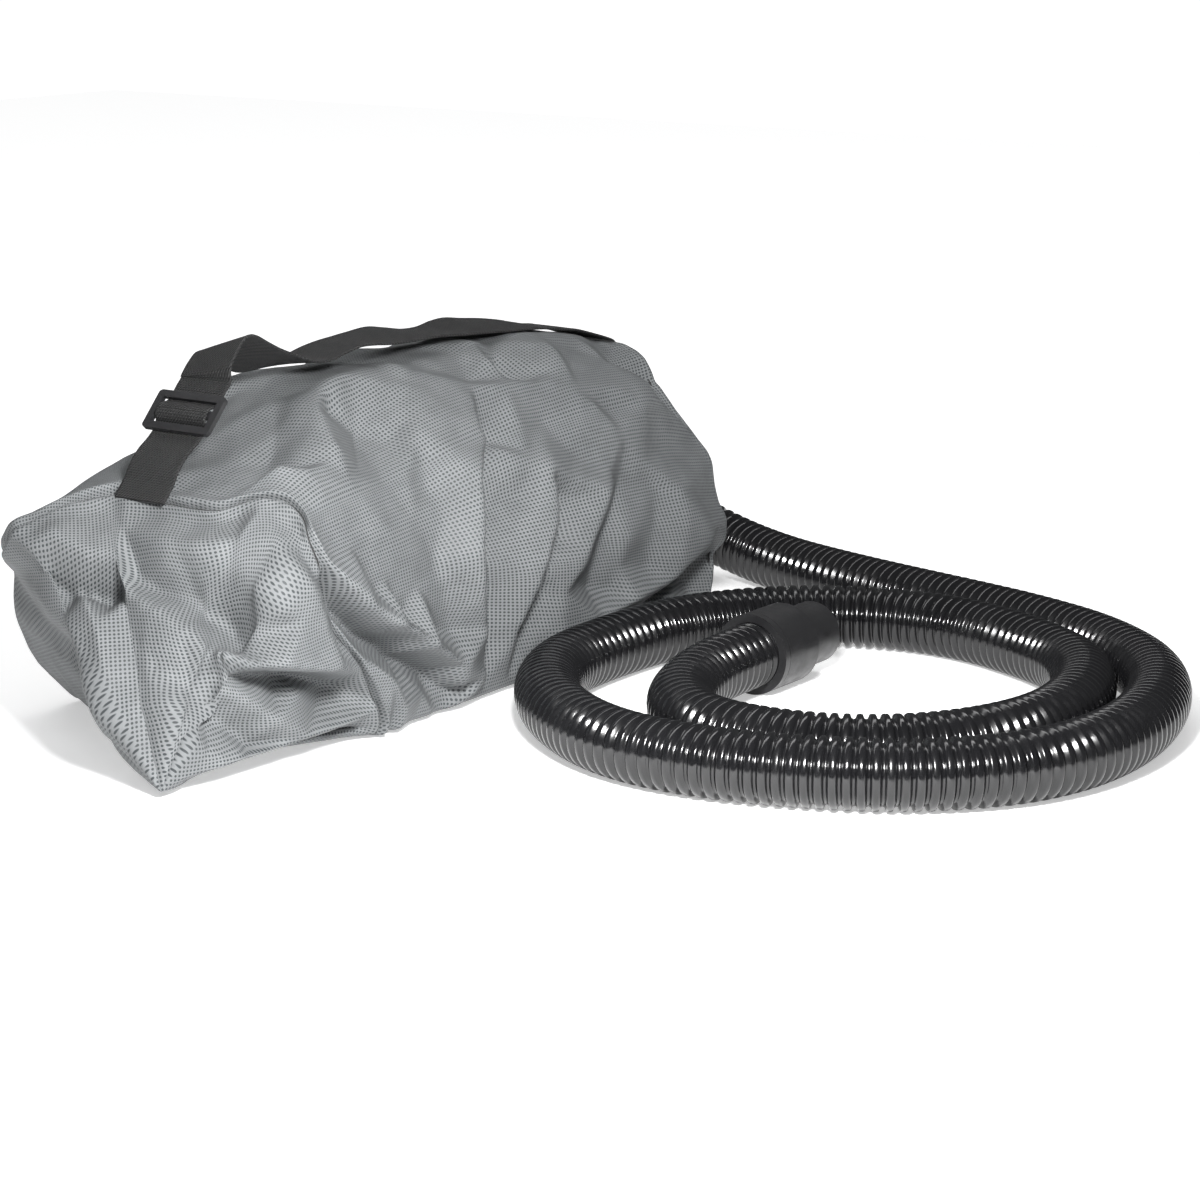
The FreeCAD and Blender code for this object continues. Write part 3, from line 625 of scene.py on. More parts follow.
verts = list(grid.reshape(-1, 3))
faces = []
for k in range(len(grid) - 1):
    for j in range(ROUND):
        n = (j + 1) % ROUND
        faces.append((k * ROUND + j, (k + 1) * ROUND + j, (k + 1) * ROUND + n, k * ROUND + n))
tip = len(verts)
verts += [apex, middle]
last = (len(grid) - 1) * ROUND
for j in range(ROUND):
    n = (j + 1) % ROUND
    faces.append((tip, j, n))
    faces.append((last + n, last + j, tip + 1))
bag = mesh_piece("bag_shell", verts, faces)
print("bag grid", grid.shape, "faces", len(faces))

# %% [markdown]
# Laid between corners, the grid is too crisp, so its corners are relaxed by a few smoothing passes along
# and across. The rows at the floor keep their height.

# %% Relax the corners
def relaxed(field, passes, across=0.5, along=0.5):
    """Smoothed copies of a grid of points; the first and last rows stay."""
    g = field.copy()
    for _ in range(passes):
        g = g + across * ((np.roll(g, 1, axis=1) + np.roll(g, -1, axis=1)) / 2 - g)
        inner = (g[:-2] + g[2:]) / 2 - g[1:-1]
        g[1:-1] += along * inner
    return g


def soften_bag(passes):
    places = coordinates(bag)
    field = places[:tip].reshape(grid.shape)
    places[:tip] = relaxed(field, passes).reshape(-1, 3)
    places[:, 2] = np.maximum(places[:, 2], 0.0008)
    set_coordinates(bag, places)


soften_bag(4)
print("bag relaxed")

# %% [markdown]
# The folds are what make it a bag. The cloth is stiff, so it creases like paper: flat facets between sharp
# ridges and valleys. Each crease is a line of points with a height above or below the plain shell. The
# creases of the near end are measured across its face, those of the sides along the bag, and those of the
# top from above. A triangle net is drawn between all of them, and small chance creases fill the rest.
#
# The places in the near end's, right side's and top's lists were printed by a scratch program, pasted in,
# and then changed in part by hand.
# All the heights, and the other two lists, were chosen one by one.

# %% Crease lines
# near end: across its face, up, height
END_CREASES = [
    [(-168, 130, 3), (-148, 122, 7), (-128, 113, 8), (-106, 107, 8)],
    [(-166, 118, -2), (-148, 110, -7), (-134, 102, -8), (-112, 97, -7)],
    [(-128, 95, 4), (-120, 80, 7), (-114, 60, 7), (-110, 42, 5), (-102, 16, 2)],
    [(-70, 11, 3), (-40, 15, 4), (-10, 17, 4), (20, 17, 3)],
    [(-62, 4, -6), (-40, 5, -8), (-10, 6, -8), (14, 7, -6)],
    [(-142, 84, -2), (-134, 60, -4), (-128, 40, -4), (-116, 14, -3)],
    [(-104, 92, 4), (-98, 98, 6), (-84, 92, 6), (-66, 82, 5)],
    [(-98, 104, -1), (-82, 100, -4), (-66, 100, -6), (-46, 88, -8), (-40, 74, -6)],
    [(-58, 72, 6), (-42, 70, 10), (-28, 68, 11), (2, 58, 10), (22, 48, 8), (36, 24, 3)],
    [(-56, 64, -2), (-36, 60, -6), (-12, 50, -9), (12, 38, -8), (28, 28, -4)],
    [(-58, 120, 4), (-32, 104, 6), (-12, 88, 6), (6, 76, 5)],
    [(-26, 138, 3), (-14, 124, 6), (-2, 102, 6), (8, 82, 5)],
    [(-4, 132, -5), (2, 116, -7), (10, 96, -7), (14, 76, -5)],
    [(-66, 56, -1), (-50, 38, -6), (-36, 18, -2)],
    [(-86, 66, 4), (-72, 44, 6), (-58, 22, 3)],
    [(-38, 50, 2), (-26, 34, 5), (-14, 14, 2)],
    [(-10, 44, 0), (6, 28, -5), (18, 14, -2)],
    [(-90, 142, -2), (-64, 140, -4), (-42, 144, -5)],
    [(-104, 128, 3), (-72, 124, 5), (-44, 126, 6), (-30, 140, 5)],
]
# right side: along, up, height
SIDE_CREASES = [
    [(-152, 116, 2), (-146, 106, 6), (-122, 88, 9), (-98, 72, 10), (-72, 54, 10), (-38, 36, 9), (-16, 26, 6)],
    [(-152, 102, -3), (-132, 80, -7), (-108, 62, -9), (-80, 44, -9), (-48, 28, -7), (-24, 16, -3)],
    [(-112, 156, 4), (-106, 146, 3), (-86, 120, 1), (-64, 86, -1), (-36, 54, -1)],
    [(38, 180, 4), (16, 152, 8), (-8, 132, 10), (-20, 100, 10), (-20, 76, 8), (-12, 52, 6), (-8, 32, 3)],
    [(32, 154, -3), (12, 128, -8), (0, 96, -9), (2, 64, -7), (8, 38, -3)],
    [(60, 142, 2), (64, 120, 7), (56, 100, 8), (38, 72, 7), (24, 38, 4)],
    [(76, 116, -3), (64, 92, -7), (52, 60, -6), (40, 32, -3)],
    [(128, 124, 3), (112, 108, 7), (88, 84, 6), (72, 56, 3)],
    [(20, 156, 4), (40, 148, 2), (68, 132, 6), (88, 124, 4), (112, 110, 6)],
    [(144, 114, -2), (126, 86, -5), (108, 52, -3)],
    [(234, 72, 5), (222, 64, 7), (184, 50, 7), (144, 42, 7), (108, 34, 6), (74, 24, 4)],
    [(228, 46, -5), (220, 36, -6), (176, 28, -5), (132, 20, -3)],
    [(-34, 20, 5), (-12, 24, 7), (-16, 12, 4)],
    [(-124, 60, 2), (-100, 40, 5), (-84, 20, 4)],
    [(168, 122, 2), (196, 94, 5), (232, 104, 2)],
]
# top: along, across, height
TOP_CREASES = [
    [(38, -64, 4), (68, -68, 6), (100, -72, 5), (128, -78, 5), (168, -80, 6), (208, -76, 6)],
    [(104, -40, -3), (94, -56, -8), (92, -66, -4)],
    [(88, -34, 3), (76, -52, 6), (78, -66, 4)],
    [(148, -40, 3), (136, -58, 6), (116, -70, 4)],
    [(208, -82, 6), (190, -90, 6), (152, -98, 5)],
    [(218, -50, -5), (232, -66, -7), (228, -78, -3)],
    [(-54, -34, 3), (-80, -52, 7), (-100, -72, 8)],
    [(-64, -46, -3), (-54, -64, -8), (-40, -74, -4)],
    [(-4, -40, 2), (-6, -56, 4), (-12, -66, 6), (-28, -76, 6), (-50, -88, 3)],
    [(-34, -36, 2), (4, -44, 4), (24, -54, 4), (38, -64, 4)],
    [(-100, -34, -3), (-122, -50, -6), (-134, -66, -4)],
    [(-140, -70, 6), (-132, -80, 6), (-130, -90, 4)],
    [(-60, 40, 5), (-10, 52, -4), (40, 38, 5), (90, 56, -5), (150, 40, 5), (215, 54, -4)],
    [(-100, 30, -5), (-70, 56, 5), (-20, 66, 5), (30, 60, -5), (80, 68, 5), (130, 62, 4), (190, 66, -5)],
]
# left side, where the zip is: along, up, height
ZIP_SIDE_CREASES = [
    [(-110, 120, 3), (-80, 112, -5), (-40, 128, 4), (0, 110, -4), (50, 132, 5), (100, 114, -5), (160, 134, 4),
     (220, 116, -4)],
    [(-90, 146, -3), (-30, 148, 5), (20, 140, -5), (70, 150, 4), (130, 142, -5), (200, 146, 4)],
    [(-110, 40, 3), (-70, 22, -4), (-20, 46, 4), (30, 24, -4), (90, 48, 4), (150, 22, -4), (210, 44, 3)],
]
# far end: across, up, height
FAR_CREASES = [
    [(-90, 110, 3), (-60, 80, -5), (-70, 40, 4)],
    [(-40, 130, -3), (10, 120, 5), (60, 128, -4)],
    [(88, 100, 3), (92, 60, -4), (86, 24, 3)],
]
FACE_TURN = math.radians(55)     # the near end's face is turned this far from the bag's length
ALL_CREASES = (END_CREASES, SIDE_CREASES, TOP_CREASES, ZIP_SIDE_CREASES, FAR_CREASES)
print("crease lines", sum(len(creases) for creases in ALL_CREASES))

# %% [markdown]
# Every crease point is moved to the nearest grid point of the shell on its own side. The net is then drawn
# flat, with one direction for the grid's rows and the other for its columns, and the height of each grid
# point is read from the triangle it lies in.

# %% Triangle net of the creases
def clamp01(values):
    return np.clip(values, 0, 1)


STEP_ROUND = 3.4        # flat spacing of the net, about the real spacing of the grid in millimetres
STEP_ALONG = 4.4
SIDE_STRENGTH, END_STRENGTH = 1.3, 1.35      # the side and the near end are folded deeper than the rest


def places_and_flat():
    """Grid places in millimetres, normals, and the flat net's position of each."""
    places = coordinates(bag)[:tip] / MM
    normals = vertex_normals(bag)[:tip]
    k, j = np.divmod(np.arange(tip), ROUND)
    return places, normals, np.stack([j * STEP_ROUND, k * STEP_ALONG], axis=1), k


def crease_nets():
    """The nets of near end and body: crease points, heights, edges, and each grid point's flat place."""
    places, normals, flat, k = places_and_flat()
    x, y, z = places.T
    face_across = x * math.cos(FACE_TURN) - y * math.sin(FACE_TURN)
    body = k > SEAM_ROW
    views = [
        (SIDE_CREASES, x, z, body & (normals[:, 1] < -0.25), SIDE_STRENGTH),
        (TOP_CREASES, x, y, body & (normals[:, 2] > 0.25), 1.0),
        (ZIP_SIDE_CREASES, x, z, body & (normals[:, 1] > 0.25), 1.0),
        (FAR_CREASES, y, z, k > FAR_ROW, 1.0),
    ]
    points, heights, edges = [], [], []

    def lay(crease, spots, strength):
        start = len(points)
        points.extend(tuple(spot) for spot in spots)
        heights.extend(height * strength for _, _, height in crease)
        edges.extend((i, i + 1) for i in range(start, len(points) - 1))

    for crease in END_CREASES:
        lay(crease, [(a, b) for a, b, _ in crease], END_STRENGTH)
    near_net = (points, heights, edges, np.stack([face_across, z], axis=1))
    points, heights, edges = [], [], []
    for creases, first, second, chosen, strength in views:
        index = np.where(chosen)[0]
        for crease in creases:
            lay(crease, [flat[index[np.argmin((first[index] - a) ** 2 + (second[index] - b) ** 2)]]
                         for a, b, _ in crease], strength)
    return near_net, (points, heights, edges, flat)


def fill_chance(points, heights, low, high, spacing, lift_most, seed):
    """Chance points with small heights, away from the named creases, and a flat frame round them."""
    chance = np.random.RandomState(seed)
    named = np.array(points)
    for a in np.arange(low[0], high[0], spacing):
        for b in np.arange(low[1], high[1], spacing):
            spot = np.array([a, b]) + chance.uniform(-0.44, 0.44, 2) * spacing
            lift = chance.uniform(-lift_most, lift_most)
            if np.min(np.hypot(*(named - spot).T)) > 0.6 * spacing:
                points.append(tuple(spot))
                heights.append(lift)
    for a, b in ((low[0] - 60, low[1] - 60), (high[0] + 60, low[1] - 60), (high[0] + 60, high[1] + 60),
                 (low[0] - 60, high[1] + 60)):
        points.append((a, b))
        heights.append(0)


def height_on_edges(spot, points, heights, edges):
    """The height at a place where two creases cross."""
    best = (1e9, 0.0)
    for first, second in edges:
        a, b = np.array(points[first]), np.array(points[second])
        line = b - a
        share = float(np.clip(((spot - a) @ line) / max(line @ line, 1e-9), 0, 1))
        away = float(np.hypot(*(spot - a - share * line)))
        if away < best[0]:
            best = (away, heights[first] * (1 - share) + heights[second] * share)
    return best[1]


def facet_heights(points, heights, edges, flat):
    """The height of every flat place, read from the net's triangles."""
    out, _, triangles, came_from, _, _ = delaunay_2d_cdt([Vector(p) for p in points], edges, [], 0, 0.05)
    levels = [heights[origin[0]] if origin else height_on_edges(np.array(v), points, heights, edges)
              for v, origin in zip(out, came_from)]
    result = np.zeros(len(flat))
    for a, b, c in triangles:
        corners = np.array([out[a], out[b], out[c]])
        low, high = corners.min(0), corners.max(0)
        inside = np.where(((flat >= low - 0.01) & (flat <= high + 0.01)).all(axis=1))[0]
        edge_b, edge_c = corners[1] - corners[0], corners[2] - corners[0]
        area = edge_b[0] * edge_c[1] - edge_b[1] * edge_c[0]
        if abs(area) < 1e-9 or len(inside) == 0:
            continue
        from_a = flat[inside] - corners[0]
        share_b = (from_a[:, 0] * edge_c[1] - from_a[:, 1] * edge_c[0]) / area
        share_c = (edge_b[0] * from_a[:, 1] - edge_b[1] * from_a[:, 0]) / area
        ok = (share_b > -0.01) & (share_c > -0.01) & (share_b + share_c < 1.01)
        level = levels[a] * (1 - share_b - share_c) + levels[b] * share_b + levels[c] * share_c
        result[inside[ok]] = level[ok]
    return result, len(triangles)


near_net, body_net = crease_nets()
fill_chance(near_net[0], near_net[1], (-180, 0), (60, 160), spacing=26, lift_most=1.2, seed=5)
fill_chance(body_net[0], body_net[1], (0, 0), (ROUND * STEP_ROUND, len(grid) * STEP_ALONG),
            spacing=30, lift_most=1.6, seed=11)
near_lifts, near_size = facet_heights(*near_net)
lifts, body_size = facet_heights(*body_net)
lifts, near_lifts = lifts.reshape(len(grid), ROUND), near_lifts.reshape(len(grid), ROUND)
for k in range(SEAM_ROW):
    to_seam = clamp01(1 - (SEAM_ROW - k) / 5)
    to_corner = clamp01((k + 1) / 10)
    lifts[k] = (near_lifts[k] * (1 - to_seam) + lifts[SEAM_ROW] * to_seam) * to_corner
print("net triangles", near_size, body_size, "heights %.1f to %.1f mm" % (lifts.min(), lifts.max()))


# %% [markdown]
# Some places hold still: the zip's strip, the flange's seat and whatever lies on the floor. Near the hose
# the cloth may not come nearer than the hose's skin.

# %% Places that hold still
ZIP_UP, ZIP_HALF = 0.080, 0.014     # middle and half height of the zip's strip
ZIP_SIDE_FROM = 0.096
FLANGE_SEAT = 0.040                 # radius under the flange
FAR_END_FROM = 0.235
HOSE_ROOM = 0.0213                  # the cloth stays this far from the hose's middle line


def holding(places):
    """1 where the cloth is free, 0 where it is held."""
    x, y, z = places.T
    zip_strip = clamp01((np.abs(z - ZIP_UP) - ZIP_HALF) / 0.012) + clamp01((ZIP_SIDE_FROM - y) / 0.01)
    from_port = np.hypot(y - PORT_ACROSS, z - PORT_UP)
    flange = clamp01((from_port - FLANGE_SEAT) / 0.02) + clamp01((FAR_END_FROM - x) / 0.02)
    floor = clamp01((z - 0.0012) / 0.005)
    return clamp01(zip_strip) * clamp01(flange) * floor


# span, height, shift of the noise
CRUMPLES = [(0.034, 0.0008, 7.7), (0.014, 0.0004, 1.9)]


def crumple(places, sizes):
    """Ridged noise: small creases where the noise crosses zero."""
    move = np.zeros(len(places))
    for span, height, shift in sizes:
        values = np.array([noise.noise(Vector(p) / span + Vector((shift, -shift, shift))) for p in places])
        move += height * (0.5 - 2.0 * np.abs(values))
    return move


HOSE_POINTS = np.array(hose_line)


def off_the_hose(places):
    """Push points of the bag that come too near the hose's middle line back out."""
    near = (places[:, 0] > -0.12) & (places[:, 1] < -0.09) & (places[:, 2] < 0.06)
    line = HOSE_POINTS[::4]
    for i in np.where(near)[0]:
        gaps = places[i] - line
        far = np.linalg.norm(gaps, axis=1)
        k = int(far.argmin())
        if far[k] < HOSE_ROOM:
            places[i] = line[k] + gaps[k] / far[k] * HOSE_ROOM
    return places


FOLD_STRENGTH = 1.6
# two rows before each seam to three after it; the seam's own row is a groove
SEAM_PULL = np.zeros(len(grid))
for seam in (SEAM_ROW, FAR_ROW):
    SEAM_PULL[seam - 2:seam + 4] = np.array([1.2, 1.6, -7.0, 1.2, 2.0, 1.2]) * MM


def fold_bag():
    places = coordinates(bag)
    free = holding(places)
    normals = vertex_normals(bag)
    move = crumple(places, CRUMPLES)
    move[:tip] += relaxed(lifts[:, :, None], 1, 0.1, 0.1).reshape(-1) * MM * FOLD_STRENGTH
    move[tip:] = 0
    move[:tip] = move[:tip] + SEAM_PULL[np.arange(tip) // ROUND]
    places += normals * (move * free)[:, None]
    set_coordinates(bag, places)


def settle_bag():
    """Keep the cloth off the floor and off the hose."""
    places = coordinates(bag)
    places[:, 2] = np.maximum(places[:, 2], 0.0006)
    set_coordinates(bag, off_the_hose(places))


fold_bag()
settle_bag()
print("bag folded, lowest point %.4f" % coordinates(bag)[:, 2].min())

# %% [markdown]
# The cloth's UV map is measured on the folded shell, so that its dots keep their spacing over every crease.
# The body is measured along each column of the grid, and the near end as a fan opened flat.


# %% Cloth map in metres
def cloth_uv():
    field = coordinates(bag)[:tip].reshape(grid.shape)
    steps = np.linalg.norm(np.diff(field, axis=0), axis=2)
    down = np.vstack([np.zeros(ROUND), np.cumsum(steps, axis=0)])
    for _ in range(200):        # evened out between columns, so that the lattice does not shear
        down = (np.roll(down, 1, axis=1) + 2 * down + np.roll(down, -1, axis=1)) / 4
    middle_row = SEAM_ROW + sum(BODY_ROWS[:3])
    around = np.linalg.norm(np.roll(field[middle_row], -1, axis=0) - field[middle_row], axis=1)
    body_u = np.concatenate([[0], np.cumsum(around)])
    closed = lambda row: np.vstack([row, row[:1]])
    rays = ring_rows[0] - apex
    unit = rays / np.linalg.norm(rays, axis=1)[:, None]
    between = (unit * np.roll(unit, -1, axis=0)).sum(1)
    turns = np.concatenate([[0], np.cumsum(np.arccos(np.clip(between, -1, 1)))])
    start = np.linalg.norm(field[0] - coordinates(bag)[tip], axis=1)

    def near_map(k):
        reach = np.append(start + down[k], start[0] + down[k][0])
        return np.stack([reach * np.cos(turns), reach * np.sin(turns)], axis=1)

    def body_map(k):
        along = down[k] - down[middle_row]
        return np.stack([body_u, np.append(along, along[0])], axis=1)

    def far_map(k):
        return closed(field[k])[:, 1:]

    uvs = []
    for k in range(len(grid) - 1):
        part = near_map if k < SEAM_ROW else (body_map if k < FAR_ROW else far_map)
        low, high = part(k), part(k + 1)
        for j in range(ROUND):
            uvs += [low[j], high[j], high[j + 1], low[j + 1]]
    first, end = near_map(0), far_map(len(grid) - 1)
    for j in range(ROUND):
        uvs += [(0, 0), first[j], first[j + 1]]
        uvs += [end[j + 1], end[j], middle[1:]]
    layer = bag.data.uv_layers.new(name="cloth_metres")
    layer.data.foreach_set("uv", np.asarray(uvs, dtype=np.float32).ravel())


cloth_uv()
print("cloth map ready")

# %% [markdown]
# One subdivision rounds the facets' edges. The shell then stands for all the bag's cloth nodes.

# %% Finish the bag
bag.data.materials.append(BAG_CLOTH)
finer = bag.modifiers.new("finer", "SUBSURF")
finer.levels = 1
finer.render_levels = 1
baked(bag)
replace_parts(bag, "near_end_panel", "far_end_panel", "front_panel", "top_panel", "rear_upper_panel",
            "rear_lower_panel", "base_panel", "zip_end_tab")
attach(bag, "bag")
print("bag faces", len(bag.data.polygons))

# %% [markdown]
# ## Shoulder strap
#
# The strap is 38 mm webbing. It is sewn into the near seam, threads over the middle bar of its buckle, stands
# up in a loop, folds over, and wanders along the crown to the far seam. Flat webbing is modelled directly:
# both edges are given as points, so it can lean and twist as real webbing does. It is made in two lengths
# that meet on the buckle's middle bar.

# %% Webbing
WEBBING_WIDE = 0.038
WEBBING_THICK = 0.0016
STRAP_NEAR_Y, STRAP_FAR_Y = -31.0, 7.0
BUCKLE_MIDDLE = (-151.05, 189.7)
BUCKLE_SLOPE = math.radians(47)


def by_buckle(along, off):
    """A point (x, z) at a distance along the buckle's slope and off its plane."""
    c, s = math.cos(BUCKLE_SLOPE), math.sin(BUCKLE_SLOPE)
    return (BUCKLE_MIDDLE[0] + along * c - off * s, BUCKLE_MIDDLE[1] + along * s + off * c)


def flat_station(x, z):
    """Near and far edge of webbing that lies level across."""
    return (x, STRAP_NEAR_Y, z, x, STRAP_FAR_Y, z)


ANCHOR_WAY = [flat_station(-190.5, 145.5), flat_station(-186.5, 150.0)]
ANCHOR_WAY += [flat_station(*by_buckle(a, o)) for a, o in
               [(-47, -1.0), (-38, 0.6), (-28, 0.4), (-19, -1.8), (-13, -2.7), (-10, -2.6), (-6.6, -1.2),
                (-4.4, 1.2), (-2.2, 2.5), (0, 2.7)]]
UPPER_WAY = [flat_station(*by_buckle(a, o)) for a, o in
             [(0, 2.7), (2.2, 2.5), (4.4, 1.2), (6.6, -1.2), (10, -2.6), (13, -2.7), (18, -2.4), (25, -2.6)]]
UPPER_WAY += [
    (-131, -31, 215, -133, 7, 207), (-122, -31, 226, -127, 7, 214), (-114, -30, 231, -119, 7, 218.5),
    (-105, -29, 230, -109, 8, 214.5), (-94, -28, 225, -97, 8, 207), (-81, -28, 219, -84, 9, 202),
    (-67, -29, 213, -68, 9, 202), (-55, -30, 208.5, -53, 8, 204), (-43, -31, 207.5, -40, 8, 207),
    (-30, -31, 210, -27, 7, 210), (-16, -31, 212.5, -13, 6, 212), (-2, -31, 212, 1, 6, 213),
    (12, -31, 210.5, 15, 6, 214), (30, -31, 209.5, 34, 6, 215), (48, -31, 209.5, 51, 6, 212.5),
    (66, -31, 209, 68, 6, 209.5),
    (82, -31, 207.5, 84, 6, 209), (96, -31, 206.5, 98, 6, 211), (110, -31, 205.5, 112, 6, 211.5),
    (130, -31, 203.8, 131, 7, 209), (150, -31, 202.6, 151, 7, 206.5), (170, -31, 201, 171, 7, 203),
    (190, -31, 198, 190, 7, 198.6), (208, -31, 195.5, 208, 7, 196), (228, -31, 190.3, 228, 7, 190.6),
    (247, -31, 184.6, 247, 7, 184.8), (252, -31, 181.5, 252, 7, 181.5),
]


def ribbon(name, way, thick, count, finish):
    """A closed strip of webbing between two rows of edge points, with rounded selvedges."""
    both = smooth_row(np.array(way), count) * MM
    near, far = both[:, :3], both[:, 3:]
    middle_line = (near + far) / 2
    ahead = np.gradient(middle_line, axis=0)
    ahead /= np.linalg.norm(ahead, axis=1)[:, None]
    across = far - near
    across *= (WEBBING_WIDE / np.linalg.norm(across, axis=1))[:, None]
    near = middle_line - across / 2
    up = np.cross(ahead, across / WEBBING_WIDE)
    up /= np.linalg.norm(up, axis=1)[:, None]
    up *= np.where(np.median(up[:, 2]) < 0, -1, 1)
    gone = np.concatenate([[0], np.cumsum(np.linalg.norm(np.diff(middle_line, axis=0), axis=1))])
    # share across, share of half the thickness
    outline = [(0.0, 0.0), (0.012, 0.8), (0.05, 1.0), (0.07, 0.86), (0.20, 0.95), (0.35, 1.0), (0.5, 1.0),
               (0.65, 1.0), (0.80, 0.95), (0.93, 0.86), (0.95, 1.0), (0.988, 0.8), (1.0, 0.0)]
    outline += [(a, -b) for a, b in reversed(outline[1:-1])]
    loops = len(outline)
    strip = np.array([[near[i] + across[i] * a + up[i] * b * thick / 2 for a, b in outline]
                      for i in range(count)])
    quads, uvs = [], []
    shares_across = [a for a, _ in outline] + [0.0]
    for i in range(count - 1):
        for j in range(loops):
            n = (j + 1) % loops
            quads.append((i * loops + j, i * loops + n, (i + 1) * loops + n, (i + 1) * loops + j))
            u, v = shares_across[j] * WEBBING_WIDE, shares_across[j + 1] * WEBBING_WIDE
            uvs += [(u, gone[i]), (v, gone[i]), (v, gone[i + 1]), (u, gone[i + 1])]
    for row in (0, count - 1):
        half = loops // 2
        for j in range(half):
            a, b = j, j + 1
            c, d = (loops - j - 1) % loops, (loops - j) % loops
            face = [row * loops + v for v in (a, b, c, d)]
            face = list(dict.fromkeys(face))
            if row:
                face.reverse()
            if len(face) > 2:
                quads.append(tuple(face))
                uvs += [(0.0, 0.0)] * len(face)
    piece = mesh_piece(name, strip.reshape(-1, 3), quads, uvs)
    face_outward(piece)
    piece.data.materials.append(finish)
    return piece, middle_line


anchor, _ = ribbon("strap_anchor_webbing", ANCHOR_WAY, WEBBING_THICK, 70, WEBBING)
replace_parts(anchor, "strap_anchor")
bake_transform(anchor)
upper, upper_line = ribbon("strap_upper_webbing", UPPER_WAY, WEBBING_THICK, 320, WEBBING)
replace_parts(upper, "strap_webbing")
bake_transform(upper)
print("strap points", len(upper_line))

# %% [markdown]
# ## Repeated pieces
#
# The zip's coil, the stitches and the screws are one small shape set out many times. Geometry Nodes put the
# shape on points, so the spacing and the count are inputs that can be changed. The result is then turned
# into plain mesh.


# %% A tree that sets a shape out along a line
def named_tree(name, inputs):
    """A geometry tree with named inputs; inputs are (name, kind, default)."""
    tree = bpy.data.node_groups.new(name, "GeometryNodeTree")
    identifiers = {}
    tree.interface.new_socket("Shape", in_out="INPUT", socket_type="NodeSocketGeometry")
    for title, kind, default in inputs:
        socket = tree.interface.new_socket(title, in_out="INPUT", socket_type="NodeSocket" + kind)
        if default is not None:
            socket.default_value = default
        identifiers[title] = socket.identifier
    tree.interface.new_socket("Result", in_out="OUTPUT", socket_type="NodeSocketGeometry")
    return tree, tree.nodes.new("NodeGroupInput"), tree.nodes.new("NodeGroupOutput"), identifiers


def finish_copies(tree, given, placed, result):
    """Put the shape on the points, make it real and give it its finish."""
    real = tree.nodes.new("GeometryNodeRealizeInstances")
    finish = tree.nodes.new("GeometryNodeSetMaterial")
    tree.links.new(given.outputs["Shape"], placed.inputs["Instance"])
    tree.links.new(placed.outputs["Instances"], real.inputs["Geometry"])
    tree.links.new(real.outputs["Geometry"], finish.inputs["Geometry"])
    tree.links.new(given.outputs["Finish"], finish.inputs["Material"])
    tree.links.new(finish.outputs["Geometry"], result.inputs["Result"])


def line_array_tree():
    """Copies of the shape from Start, Count of them, each Step further on."""
    tree, given, result, names = named_tree("set_out_on_a_line", [
        ("Start", "Vector", (0, 0, 0)), ("Step", "Vector", (0.001, 0, 0)), ("Count", "Int", 10),
        ("Finish", "Material", None)])
    line = tree.nodes.new("GeometryNodeMeshLine")
    placed = tree.nodes.new("GeometryNodeInstanceOnPoints")
    link = tree.links.new
    link(given.outputs["Start"], line.inputs["Start Location"])
    link(given.outputs["Step"], line.inputs["Offset"])
    link(given.outputs["Count"], line.inputs["Count"])
    link(line.outputs["Mesh"], placed.inputs["Points"])
    finish_copies(tree, given, placed, result)
    return tree, names


def ring_array_tree():
    """Copies of the shape round the X axis, Count of them, from the angle First."""
    tree, given, result, names = named_tree("set_out_on_a_ring", [
        ("Centre", "Vector", (0, 0, 0)), ("Radius", "Float", 0.03), ("First", "Float", 0.0),
        ("Count", "Int", 4), ("Finish", "Material", None)])
    link = tree.links.new
    circle = tree.nodes.new("GeometryNodeMeshCircle")
    turned = tree.nodes.new("GeometryNodeTransform")
    upright = tree.nodes.new("ShaderNodeCombineXYZ")
    placed = tree.nodes.new("GeometryNodeInstanceOnPoints")
    link(given.outputs["Count"], circle.inputs["Vertices"])
    link(given.outputs["Radius"], circle.inputs["Radius"])
    upright.inputs[1].default_value = math.pi / 2
    link(given.outputs["First"], upright.inputs[0])
    link(circle.outputs["Mesh"], turned.inputs["Geometry"])
    link(given.outputs["Centre"], turned.inputs["Translation"])
    link(upright.outputs[0], turned.inputs["Rotation"])
    link(turned.outputs["Geometry"], placed.inputs["Points"])
    finish_copies(tree, given, placed, result)
    return tree, names


LINE_TREE, LINE_NAMES = line_array_tree()
RING_TREE, RING_NAMES = ring_array_tree()


def set_out(shape, tree, names, body, slot, **inputs):
    """Run the tree on the shape and keep plain mesh, riding on a body."""
    layout = shape.modifiers.new("set_out", "NODES")
    layout.node_group = tree
    for title, value in inputs.items():
        layout[names[title]] = value
    baked(shape)
    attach(shape, body)
    return shape


print("array trees", LINE_TREE.name, RING_TREE.name)

# %% [markdown]
# A coil zip is a nylon wire wound in loops, with each tape's loops between the other's. A loop is a short
# bent bar: out from its tape, over the middle and back.

# %% Zip coil
zip_low, zip_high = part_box("zip_coil_upper")
COIL_PITCH, COIL_WIRE = 0.0014, 0.00038


